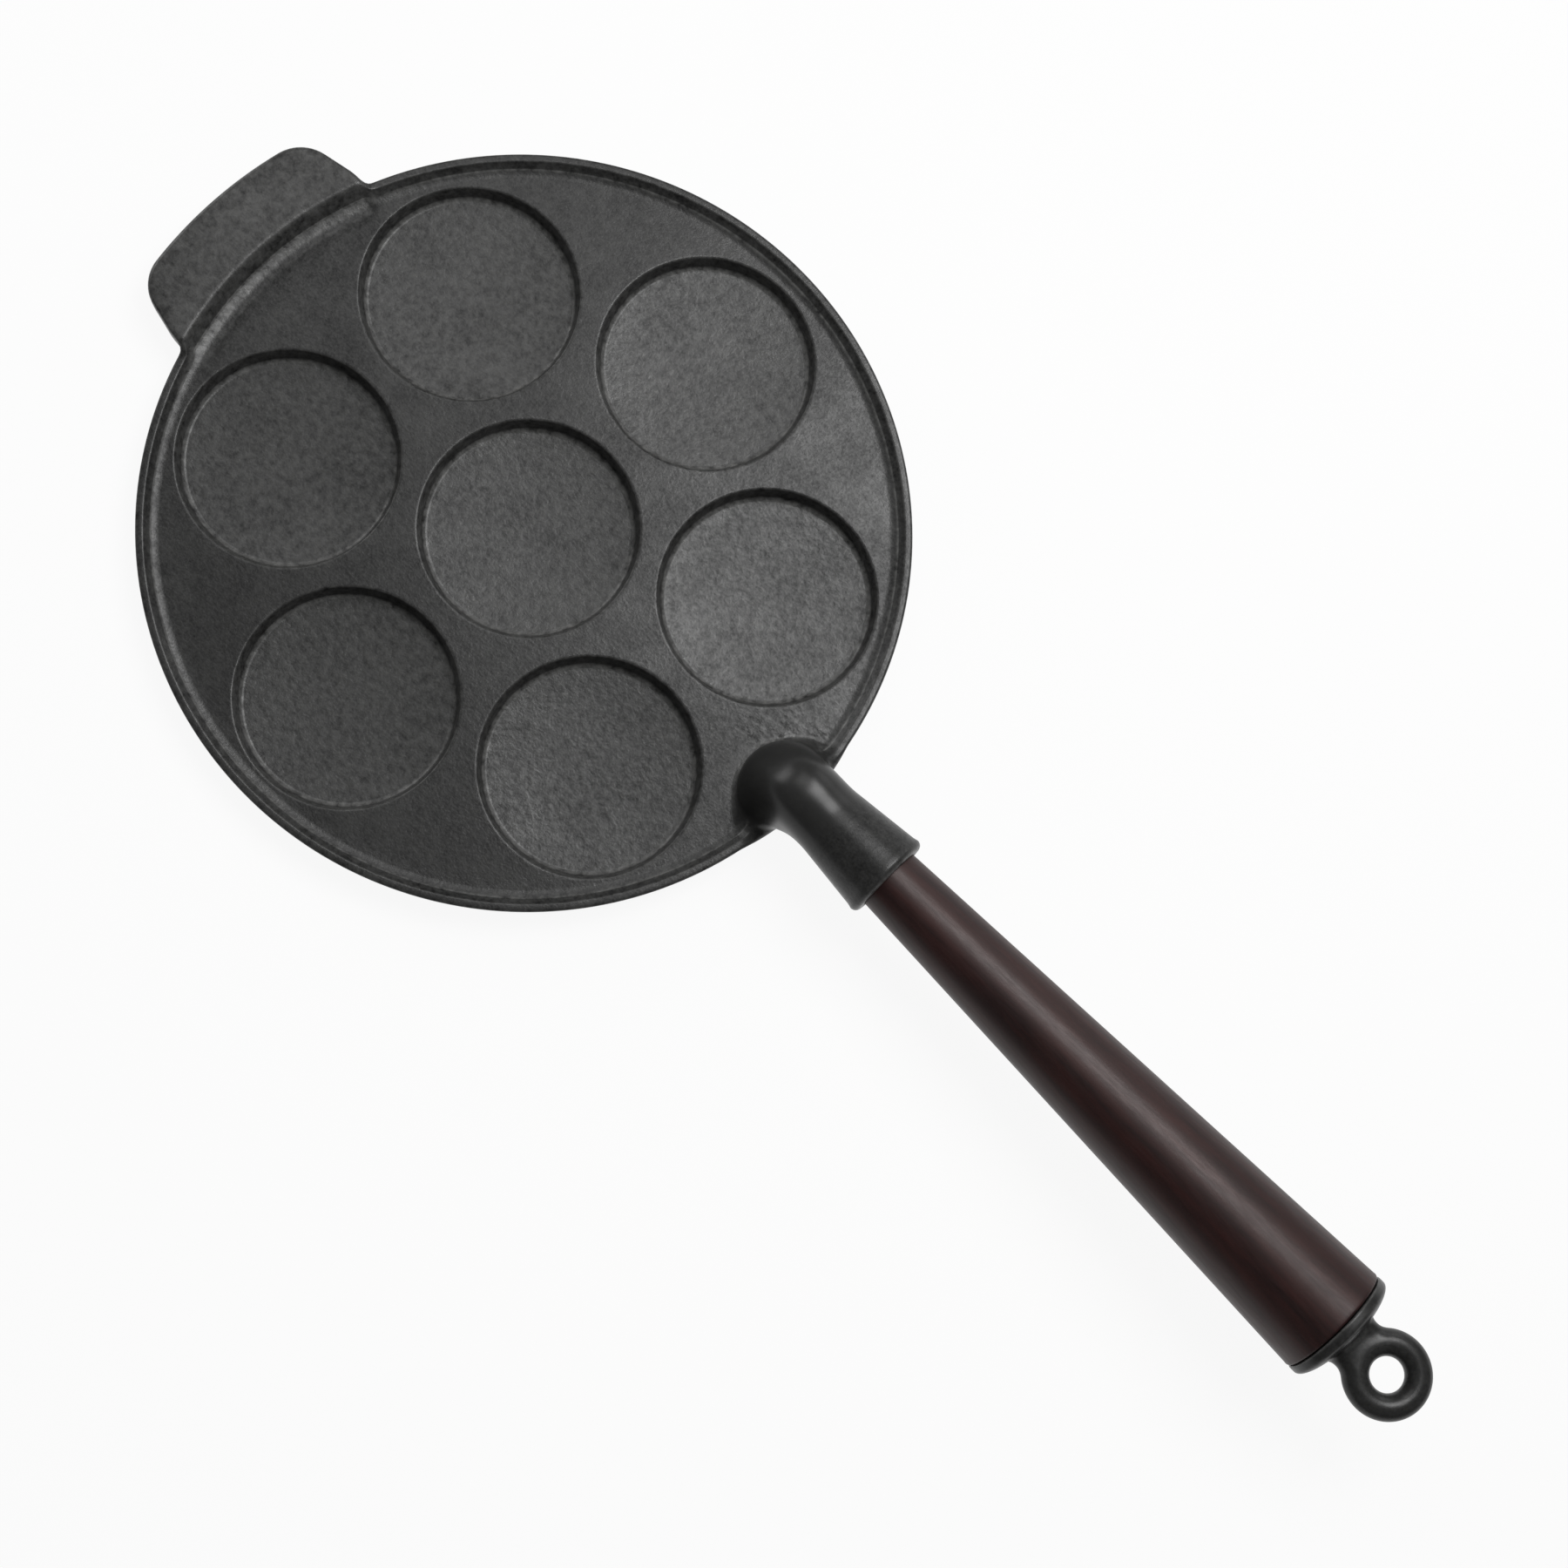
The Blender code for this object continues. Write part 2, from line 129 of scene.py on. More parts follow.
class CastingSizes(bpy.types.PropertyGroup):
    """Sizes of the round plate with its rim, wells and tab."""

    rim_radius: length("Rim radius", RIM, "Radius over the rim's outer edge")
    base_radius: length("Base radius", 111, "Radius of the drafted side at the base")
    base_edge: length("Base edge", 2.5, "Rounding of the base's edge")
    plate: length("Plate height", 10, "Height of the plate's upper face")
    rim_rise: length("Rim rise", 2.7, "Height of the rim above the plate")
    rim_land: length("Rim land", 2.3, "Width of the rim's top with its outer rounding")
    rim_edge: length("Rim edge", 0.8, "Rounding of the rim's edges")
    rim_slope: length("Rim slope", 1.9, "Width of the slope on the rim's inside")
    rim_hollow: length("Rim hollow", 2.5, "Width of the hollow between plate and slope")
    hollow_rise: length("Hollow rise", 0.55, "Height of the slope's foot above the plate")
    well_pitch: length("Well pitch", 74, "Radius of the circle of wells")
    well_radius: length("Well radius", 33.1, "Radius of a well at the plate")
    well_floor: length("Well floor", 31.6, "Radius at the foot of a well's wall")
    well_depth: length("Well depth", 5.6, "Depth of a well")
    well_lip: length("Well lip", 0.75, "Rounding of a well's lip")
    well_foot: length("Well foot", 1.6, "Rounding at the foot of a well's wall")
    ring_wells: IntProperty(
        name="Wells in the ring", description="Wells round the middle one", default=6, min=3
    )
    tab_reach: length("Tab reach", TAB_END - RIM, "How far the tab stands out from the rim")
    tab_half_width: length("Tab half width", 34.7, "Half the tab's width at its corners")
    tab_flare: length("Tab flare", 2.8, "How much wider half the tab is at its root")
    tab_corner: length("Tab corner", 12.5, "Radius of the tab's corners")
    tab_root: length("Tab root", 5, "Depth over which tab and rim run into each other")
    tab_rise: length("Tab rise", 5, "Height of the tab's top above the plate")
    tab_thickness: length("Tab thickness", 7.5, "Thickness of the tab")
    tab_edge: length("Tab edge", 1.6, "Rounding of the tab's edges")
    tab_crest: length("Tab crest", 1.4, "Rounding where the tab's slope meets its top")
    tab_foot: length("Tab foot", 2.8, "How far inside the rim's outer edge the tab's slope starts")
    tab_slope: length("Tab slope", 2.9, "Width of the slope from the hollow up to the tab")
    tab_groove: length("Tab groove", 0.45, "Depth of the shallow groove in front of the tab")


class ElbowSizes(bpy.types.PropertyGroup):
    """Sizes of the humped elbow and the handle's socket."""

    heel_inset: length("Heel inset", 20.4, "How far inside the rim the elbow starts")
    foot: length("Foot length", 18.6, "Length of the elbow's foot on the plate")
    half_width: length("Half width", 15, "Half the width of the elbow's foot")
    narrowing: length("Narrowing", 7, "How fast the elbow narrows above the plate")
    hump: length("Hump", 4, "How far the elbow's shoulder bulges")
    hump_lean: FloatProperty(
        name="Hump lean", description="How far the bulge lies toward the socket; 1 is midway",
        default=1.6, min=1,
    )
    widest: share("Widest place", 0.18, "Where the foot is widest, as a share from its toe")
    square: share("Squareness", 0.6, "How much squarer than an ellipse the elbow's middle section is")
    sink: length("Sink", 4.5, "How deep the elbow reaches into the plate")
    socket: length("Socket length", 23.3, "Length of the conical socket")
    neck_radius: length("Neck radius", 11.3, "Radius of the socket at the elbow")
    mouth_radius: length("Mouth radius", 13.8, "Radius of the socket at its mouth")
    mouth_edge: length("Mouth edge", 2, "Rounding of the socket's mouth")
    bore: length("Bore radius", 10.25, "Radius of the bore for the wood")
    bore_depth: length("Bore depth", 16.3, "Depth of the bore for the wood")
    hole: length("Tapped hole radius", 3.3, "Radius of the hole for the rod")
    hole_depth: length("Tapped hole depth", 12.5, "Depth of the hole behind the bore")
    heel_fillet: length("Heel fillet", 0.8, "Depth of the fillet between heel and plate")
    fillet: length("Rim fillet", 7, "Depth of the fillet between the elbow and the rim")


class GripSizes(bpy.types.PropertyGroup):
    """Sizes of the wooden grip and the rod in it."""

    reach: length("Grip length", 176.3, "Length of the grip outside its socket")
    front: length("Front radius", 9.95, "Radius where the grip enters the socket")
    rear: length("Rear radius", 17.9, "Radius at the rear end")
    edge: length("Rear edge", 0.8, "Rounding of the rear edge")
    tenon: length("Tenon", 16, "Length of the grip inside the socket")
    passage: length("Rod passage", 3.6, "Radius of the bore for the rod")
    rod: length("Rod radius", 3, "Outer radius of the rod")
    rod_start: length("Rod start", 27.3, "How far behind the mouth the rod starts")
    rod_end: length("Rod end", 8.3, "How far past the grip the rod ends")
    thread_pitch: length("Thread pitch", 1, "Pitch of the rod's threads")
    thread_depth: length("Thread depth", 0.55, "Depth of the rod's threads")
    thread_run: length("Thread length", 12, "Length of each thread")


class EyeSizes(bpy.types.PropertyGroup):
    """Sizes of the end cap and the hanging eye."""

    gap: length("Seam", 0.3, "Gap between the wood and the cap")
    cap_radius: length("Cap radius", 17.9, "Radius of the cap")
    cap_side: length("Cap side", 2.1, "Height of the cap's straight side")
    cap_dome: length("Cap dome", 4.3, "Height of the cap's dome")
    cap_edge: length("Cap edge", 0.6, "Rounding of the cap's edge at the wood")
    distance: length("Eye distance", 20.8, "From the wood to the middle of the eye")
    eye_radius: length("Eye radius", 13, "Outer radius of the eye")
    hole: length("Hole radius", 5.1, "Radius of the hanging hole")
    neck_width: length("Neck half width", 8.5, "Half the width of the neck")
    neck_web: length("Neck web", 3.3, "Half the neck's thickness beside the eye")
    fillet: length("Fillet", 3, "Depth over which neck and cap run into each other")
    rod_hole: length("Rod hole radius", 3.3, "Radius of the hole for the rod")
    rod_depth: length("Rod hole depth", 8.3, "Depth of the hole for the rod")
    mesh_step: length("Mesh step", 0.32, "Size of the eye's facets")


class Finishes(bpy.types.PropertyGroup):
    """Colours and gloss of the materials."""

    iron: colour("Iron", (0.042, 0.042, 0.041), "Colour of the cast iron")
    iron_dark: colour("Dark iron", (0.003, 0.003, 0.003), "Colour of its darker patches")
    # The pale colour also paints light: highlights on the mouth, strip and feet, and light on the tab's
    # top.
    iron_pale: colour("Pale iron", (0.20, 0.20, 0.195), "Colour of its worn edges and sandy feet")
    iron_gloss: share("Iron roughness", 0.34, "Roughness of the cast iron")
    wood: colour("Wood", (0.026, 0.007, 0.006), "Colour of the lacquered wood")
    wood_dark: colour("Dark grain", (0.009, 0.003, 0.003), "Colour of the wood's darker grain")
    wood_gloss: share("Wood roughness", 0.5, "Roughness of the wood under its lacquer")
    lacquer: share("Lacquer", 0.15, "Strength of the clear lacquer")
    steel: colour("Zinced steel", (0.50, 0.50, 0.48), "Colour of the rod")
    floor: colour("Floor", (0.80, 0.80, 0.80), "Colour of the floor")


class StageSizes(bpy.types.PropertyGroup):
    """Lights and camera."""

    floor_span: length("Floor span", 6000, "Side of the square floor")
    lamp_length: length("Lamp length", 520, "Length of the main lamp over the pan")
    lamp_width: length("Lamp width", 450, "Width of every lamp and length of the side lamps")
    main_power: watts("Main power", 7.4, "Power of the main lamp, high on the pan's left")
    side_power: watts("Side power", 2.2, "Power of the low lamp beyond the tab")
    fill_power: watts("Fill power", 1.3, "Power of the lamp between the other two")
    low_power: watts("Low power", 0.9, "Power of the low lamp on the pan's left")
    sky: share("Sky", 0.09, "Brightness of the light from all round")
    lens: FloatProperty(
        name="Lens", description="Focal length on a 36 mm sensor", default=60, min=1, unit="CAMERA"
    )


def mix(start, end, part):
    """The value that lies a part of the way from start to end."""
    return start + (end - start) * part


def ease(value):
    """Nought below nought, one above one, and a soft curve between."""
    held = np.clip(value, 0, 1)
    return held * held * (3 - 2 * held)


def curve(start, start_slope, end, end_slope, part):
    """A cubic from start to end, with the given slopes at its ends."""
    square, cube = part ** 2, part ** 3
    return (
        (2 * cube - 3 * square + 1) * start + (cube - 2 * square + part) * start_slope
        + (3 * square - 2 * cube) * end + (cube - square) * end_slope
    )


def on_circle(radius, turns, *more):
    """Points at a radius and angles about the origin, with any more columns given."""
    return np.column_stack([radius * np.cos(turns), radius * np.sin(turns), *more])


def arc(centre, radius, start, end, steps):
    """Points from angle start to angle end on a circle, or on an ellipse if given two radii."""
    return centre + on_circle(1, np.linspace(start, end, steps + 1)) * radius


def run_together(first, second, depth):
    """Smooth union of two distance fields, which fills the crease between them."""
    overlap = np.maximum(depth - np.abs(first - second), 0)
    return np.minimum(first, second) - overlap ** 2 / (4 * depth)


def outline_distance(points, outline):
    """Distance from points of a plane to a closed outline, negative inside it."""
    starts = np.asarray(outline)
    spans = np.roll(starts, -1, axis=0) - starts
    nearest = np.full(len(points), np.inf)
    inside = np.zeros(len(points), bool)
    for start, span in zip(starts, spans):
        offset = points - start
        size = span @ span
        along = np.clip(offset @ span / size, 0, 1) if size else np.zeros(len(points))
        nearest = np.minimum(nearest, ((offset - along[:, None] * span) ** 2).sum(1))
        if span[1]:
            crossed = (points[:, 1] < start[1]) != (points[:, 1] < start[1] + span[1])
            inside ^= crossed & (offset[:, 0] < offset[:, 1] * span[0] / span[1])
    return np.where(inside, -1, 1) * np.sqrt(nearest)


def slope_of(field, points, step=0.02 * MM):
    """The field's gradient at each point."""
    moves = np.eye(3) * step
    return np.column_stack([
        (field(points + move) - field(points - move)) / (2 * step) for move in moves
    ])


def settle(field, points, rounds, reach):
    """Moves points along the field's slope until they lie on its zero surface."""
    placed = points.copy()
    for _ in range(rounds):
        slope = slope_of(field, placed)
        steepness = np.maximum((slope ** 2).sum(1), 0.05)
        move = slope * (field(placed) / steepness)[:, None]
        size = np.linalg.norm(move, axis=1)
        placed -= move * np.minimum(1, reach / np.maximum(size, 1e-9))[:, None]
    return placed


class Shell:
    """Collects the points and faces of one mesh."""

    def __init__(self):
        self.points = []
        self.faces = []

    def ring(self, points):
        """Adds points and returns their numbers."""
        first = len(self.points)
        self.points.extend(tuple(float(value) for value in point) for point in points)
        return list(range(first, len(self.points)))

    def bridge(self, rings):
        """Joins each ring to the next."""
        for low, high in zip(rings, rings[1:]):
            for i in range(len(low)):
                j = (i + 1) % len(low)
                self.faces.append((low[i], low[j], high[j], high[i]))

    def cap(self, ring):
        """Fills a ring with one flat face."""
        self.faces.append(tuple(ring))

    def make(self, name):
        """Makes the object, with its faces turned outward."""
        mesh = bpy.data.meshes.new(name)
        mesh.from_pydata(self.points, [], self.faces)
        form = bmesh.new()
        form.from_mesh(mesh)
        bmesh.ops.remove_doubles(form, verts=form.verts, dist=SAME_PLACE)
        bmesh.ops.recalc_face_normals(form, faces=form.faces)
        form.to_mesh(mesh)
        form.free()
        made = bpy.data.objects.new(name, mesh)
        bpy.context.scene.collection.objects.link(made)
        return made


def points_of(mesh):
    """The mesh's points as an array."""
    found = np.empty(len(mesh.vertices) * 3)
    mesh.vertices.foreach_get("co", found)
    return found.reshape(-1, 3)


def place_points(mesh, points):
    """Moves the mesh's points."""
    mesh.vertices.foreach_set("co", np.ascontiguousarray(points, dtype=np.float32).ravel())
    mesh.update()


def apply_modifiers(made):
    """Gives the object the mesh that its modifiers make, and takes them off."""
    bpy.context.view_layer.update()
    graph = bpy.context.evaluated_depsgraph_get()
    old = made.data
    made.data = bpy.data.meshes.new_from_object(made.evaluated_get(graph))
    made.modifiers.clear()
    bpy.data.meshes.remove(old)
    made.data.name = made.name


def shade(mesh, sharp_degrees):
    """Smooth shading with edges sharper than the angle kept."""
    mesh.shade_smooth()
    mesh.set_sharp_from_angle(angle=math.radians(sharp_degrees))


def write_attribute(mesh, name, values):
    """Stores one number per point for the material."""
    layer = mesh.attributes.new(name, "FLOAT", "POINT")
    layer.data.foreach_set("value", np.ascontiguousarray(values, dtype=np.float32))


def store_edges(mesh, wear_with_painted_light=0, sandy=0):
    """Stores rubbed edges on bulges, sand and a painted highlight in hollows, and both where asked."""
    points = points_of(mesh)
    shortest = 0.15 * MM
    normals = np.empty(len(points) * 3)
    mesh.vertices.foreach_get("normal", normals)
    normals = normals.reshape(-1, 3)
    ends = np.empty(len(mesh.edges) * 2, dtype=int)
    mesh.edges.foreach_get("vertices", ends)
    first, second = ends.reshape(-1, 2).T
    span = points[second] - points[first]
    size = np.maximum((span ** 2).sum(1), shortest ** 2)
    turn = ((normals[second] - normals[first]) * span).sum(1) / size
    total = np.bincount(first, turn, len(points)) + np.bincount(second, turn, len(points))
    count = np.bincount(first, minlength=len(points)) + np.bincount(second, minlength=len(points))
    bulge = total / np.maximum(count, 1)
    # From the caller: painted light on the tab, painted highlights on mouth and strip, paler walls.
    write_attribute(mesh, "worn_edge_and_painted_light", np.maximum(ease(bulge * MM), wear_with_painted_light))
    write_attribute(mesh, "sand_and_painted_highlight", np.maximum(ease(-bulge * MM * 2), sandy))


def dress(piece, material, node, body):
    """Gives the piece its material, hangs it on its body and hides the CAD node it stands for."""
    piece.data.materials.clear()
    piece.data.materials.append(material)
    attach(piece, body)
    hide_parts(node)


def axis_matrix(along):
    """The handle's frame at a distance from the socket's mouth: Z outward, Y level, X down."""
    side = Vector((0, 1, 0))
    down = side.cross(AXIS)
    turned = Matrix((down, side, AXIS)).transposed().to_4x4()
    return Matrix.Translation(MOUTH + AXIS * along) @ turned


def rings_about_axis(shell, profile, segments, radius_of=None):
    """Rings of the shell about the handle's axis, from radius and height pairs."""
    turns = np.linspace(0, FULL_TURN, segments, endpoint=False)
    place = np.array(axis_matrix(0))
    rings = []
    for radius, height in profile:
        radii = radius if radius_of is None else radius_of(radius, height, turns)
        local = on_circle(radii, turns, np.full(segments, height)) * (-1, 1, 1)
        rings.append(shell.ring(local @ place[:3, :3].T + place[:3, 3]))
    return rings


def side_radius(sizes, height):
    """Radius of the casting's drafted side at a height."""
    top = sizes.plate + sizes.rim_rise - sizes.rim_edge
    return mix(sizes.base_radius, sizes.rim_radius, height / top)


def bend(start, corner, end, steps):
    """Points of a curve that leaves start towards the corner and reaches end from it."""
    parts = np.linspace(0, 1, steps + 1)[:, None]
    return (
        (1 - parts) ** 2 * np.array(start) + 2 * parts * (1 - parts) * np.array(corner)
        + parts ** 2 * np.array(end)
    )


def plate_edge(sizes):
    """Radius at which the plate's flat face gives way to the hollow beside the rim."""
    return sizes.rim_radius - sizes.rim_land - sizes.rim_slope - sizes.rim_hollow


def inner_slope(sizes, foot_radius, width, height, edge, groove=0):
    """The hollow that rises gently from the plate, then a slope of that width to that height."""
    start = np.array([plate_edge(sizes), sizes.plate - groove])
    corner = np.array([mix(start[0], foot_radius, 0.35), sizes.plate - groove])
    foot = np.array([foot_radius, sizes.plate + sizes.hollow_rise])
    crest = np.array([foot_radius + width, height])
    gentle = (foot - corner) / np.linalg.norm(foot - corner)
    steep = (crest - foot) / np.linalg.norm(crest - foot)
    turn = sizes.rim_edge / 2
    return np.vstack([
        bend(start, corner, foot - gentle * turn, 6),
        bend(foot - gentle * turn, foot, foot + steep * turn, 3)[1:],
        bend(crest - steep * edge, crest, crest + np.array([edge, 0]), 4),
    ])


def base_edge(sizes):
    """The rounding between the casting's side and its flat base."""
    edge = sizes.base_edge
    return arc((side_radius(sizes, edge) - edge, edge), edge, 0, -QUARTER_TURN, 4)


def side_points(sizes, high, low, count):
    """Points down the drafted side, without the first."""
    heights = np.linspace(high, low, count + 1)[1:]
    return np.column_stack([side_radius(sizes, heights), heights])


def rim_section(sizes):
    """The rim's section from the plate over the rim and down to the base, as radius and height."""
    top = sizes.plate + sizes.rim_rise
    edge = sizes.rim_edge
    outer = sizes.rim_radius - edge
    foot = sizes.rim_radius - sizes.rim_land - sizes.rim_slope
    inside = inner_slope(sizes, foot, sizes.rim_slope, top, edge / 2)
    land = [(mix(inside[-1][0], outer, 1 / 2), top)]
    outer_edge = arc((outer, top - edge), edge, QUARTER_TURN, 0, 4)
    side = side_points(sizes, top - edge, sizes.base_edge, 9)
    return np.vstack([inside, land, outer_edge, side, base_edge(sizes)[1:]])


def tab_section(sizes, reach):
    """The section through the tab where its edge is at reach, with as many points as the rim's."""
    top = sizes.plate + sizes.tab_rise
    under = top - sizes.tab_thickness
    foot = sizes.rim_radius - sizes.tab_foot
    width = min(sizes.tab_slope, (reach - foot) / 2)
    edge = min(sizes.tab_edge, (reach - foot - width) / 2)
    outer = reach - edge
    inside = inner_slope(sizes, foot, width, top, min(sizes.tab_crest, edge), sizes.tab_groove)
    land = [(mix(inside[-1][0], outer, 1 / 2), top)]
    upper = arc((outer, top - edge), edge, QUARTER_TURN, 0, 4)
    lower = arc((outer, under + edge), edge, 0, -QUARTER_TURN, 4)
    root = [(side_radius(sizes, under), under)]
    side = side_points(sizes, under, sizes.base_edge, 3)
    return np.vstack([inside, land, upper, lower, root, side, base_edge(sizes)[1:]])


def tab_reach(sizes, turns):
    """Radius of the casting's outer edge at azimuths counted from the middle of the tab."""
    away = np.abs(turns)
    reach = sizes.rim_radius + sizes.tab_reach
    centre_distance = reach - sizes.tab_corner
    centre_y = sizes.tab_half_width - sizes.tab_corner
    centre_turn = math.asin(centre_y / centre_distance)
    centre_x = centre_distance * math.cos(centre_turn)
    flare = math.atan2(sizes.tab_flare, centre_x - math.sqrt(
        sizes.rim_radius ** 2 - (sizes.tab_half_width + sizes.tab_flare) ** 2
    ))
    rest = centre_x * math.sin(flare) + centre_y * math.cos(flare) + sizes.tab_corner
    line = rest / np.sin(np.clip(away + flare, 0.01, QUARTER_TURN))
    across = centre_distance * np.sin(away - centre_turn)
    inside = np.maximum(sizes.tab_corner ** 2 - across ** 2, 0)
    corner = centre_distance * np.cos(away - centre_turn) + np.sqrt(inside)
    tangent = math.atan2(
        centre_y + sizes.tab_corner * math.cos(flare), centre_x + sizes.tab_corner * math.sin(flare)
    )
    edge = np.where(away <= centre_turn, reach, np.where(away <= tangent, corner, line))
    return -run_together(-edge, np.full(len(edge), -sizes.rim_radius), sizes.tab_root)


def spoke_turns():
    """Azimuths of the casting's sections, close together beside the handle and round the tab."""
    degrees = np.concatenate([
        np.arange(0, 15, 0.35), np.arange(15, TAB_START, 1.5), np.arange(TAB_START, 180, 0.4)
    ])
    half = np.radians(degrees)
    return np.concatenate([half, [HALF_TURN], FULL_TURN - half[:0:-1]])


def well_places(sizes):
    """Centres of the wells in plan: the middle one, then the ring, even to both sides of the handle."""
    step = FULL_TURN / sizes.ring_wells
    turns = step * (np.arange(sizes.ring_wells) + 1 / 2)
    return np.vstack([(0, 0), on_circle(sizes.well_pitch, turns)])


def well_profile(sizes):
    """A well's section from its lip on the plate, down the wall and round the foot to the floor."""
    floor = sizes.plate - sizes.well_depth
    lean = math.atan2(sizes.well_radius - sizes.well_floor, sizes.well_depth)
    turn = QUARTER_TURN - lean
    lip_flat = sizes.well_radius + sizes.well_lip * math.tan(turn / 2)
    lip = arc(
        (lip_flat, sizes.plate - sizes.well_lip), sizes.well_lip, QUARTER_TURN, QUARTER_TURN + turn, 4
    )
    foot_flat = sizes.well_floor - sizes.well_foot * math.tan(turn / 2)
    foot = arc(
        (foot_flat, floor + sizes.well_foot), sizes.well_foot, turn - QUARTER_TURN, -QUARTER_TURN, 5
    )
    return np.vstack([lip, foot])


def ring_points(centre, radius, count):
    """Points on a whole circle in plan."""
    return centre + on_circle(radius, np.linspace(0, FULL_TURN, count, endpoint=False))


def hex_points(low, high, step):
    """A staggered grid of points in plan."""
    row = step * math.sqrt(3) / 2
    found = []
    for j, y in enumerate(np.arange(low[1], high[1], row)):
        xs = np.arange(low[0] + (j % 2) * step / 2, high[0], step)
        found.append(np.column_stack([xs, np.full(len(xs), y)]))
    return np.vstack(found)


def plate_mesh(shell, sizes, elbow, turns, parts, lip_radius, lip_count):
    """The plate's face between the rim's hollow and the wells, with the groove in front of the tab."""
    inner = plate_edge(sizes)
    open_step, fine_step, lip_step = 6 * MM, 0.9 * MM, 0.4 * MM
    edge_gap, lip_gap, row_gap = 0.5 * MM, 1 * MM, 2 * MM
    groove_width, last_row = 4 * MM, inner - 0.8 * MM
    places = well_places(sizes)
    rings = [on_circle(inner, turns)]
    rings += [ring_points(place, lip_radius, lip_count) for place in places]
    holding = [ring_points(place, lip_radius + lip_step, lip_count) for place in places]
    coarse = hex_points((-inner, -inner), (inner, inner), open_step)
    left = sizes.rim_radius - elbow.heel_inset - elbow.fillet * 2
    side = elbow.half_width + elbow.fillet * 2
    fine = hex_points((left, -side), (inner, side), fine_step)
    in_fine = (coarse[:, 0] > left) & (np.abs(coarse[:, 1]) < side)
    groove_start = inner - groove_width
    spread = np.radians(np.arange(TAB_START, 360 - TAB_START, 0.8))
    rows = [on_circle(radius, spread) for radius in np.linspace(groove_start, last_row, 5)]
    in_rows = (np.hypot(*coarse.T) > groove_start - row_gap) & (coarse[:, 0] < -inner / 2)
    loose = np.vstack([coarse[~in_fine & ~in_rows], fine, *rows])
    clear = np.hypot(*loose.T) < inner - edge_gap
    for place in places:
        clear &= np.hypot(*(loose - place).T) > lip_radius + lip_gap
    points = np.vstack([*rings, *holding, loose[clear]])
    fences = []
    first = 0
    for ring in rings:
        count = len(ring)
        fences += [(first + i, first + (i + 1) % count) for i in range(count)]
        first += count
    made = delaunay_2d_cdt([Vector(point) for point in points], fences, [], 0, 1e-7)
    corners = np.array([(p.x, p.y) for p in made[0]])
    away = np.arctan2(corners[:, 1], corners[:, 0]) % FULL_TURN
    depth = sizes.tab_groove * np.interp(away, turns, parts)
    depth *= ease((np.hypot(*corners.T) - groove_start) / groove_width)
    numbers = shell.ring(np.column_stack([corners, sizes.plate - depth]))
    for face in made[2]:
        middle = corners[list(face)].mean(0)
        in_well = any(np.hypot(*(middle - place)) < lip_radius * 0.9995 for place in places)
        if not in_well and np.hypot(*middle) < inner:
            shell.faces.append(tuple(numbers[i] for i in face))


def make_plate(sizes, elbow):
    """The plate with its wells, rim and tab as one closed form."""
    shell = Shell()
    turns = spoke_turns()
    reaches = tab_reach(sizes, turns - HALF_TURN)
    parts = ease((reaches - sizes.rim_radius) / sizes.tab_root)
    rim = rim_section(sizes)
    sections = np.array([
        mix(rim, tab_section(sizes, reach), part) for reach, part in zip(reaches, parts)
    ])
    rings = [
        shell.ring(on_circle(radii, turns, heights)) for radii, heights in sections.transpose(1, 2, 0)
    ]
    shell.bridge(rings)
    shell.cap(rings[-1])
    profile = well_profile(sizes)
    count = 112
    plate_mesh(shell, sizes, elbow, turns, parts, profile[0][0], count)
    for place in well_places(sizes):
        well = [
            shell.ring(np.column_stack([ring_points(place, r, count), np.full(count, z)]))
            for r, z in profile
        ]
        shell.bridge(well)
        shell.cap(well[-1])
    return shell.make("cast_pan")


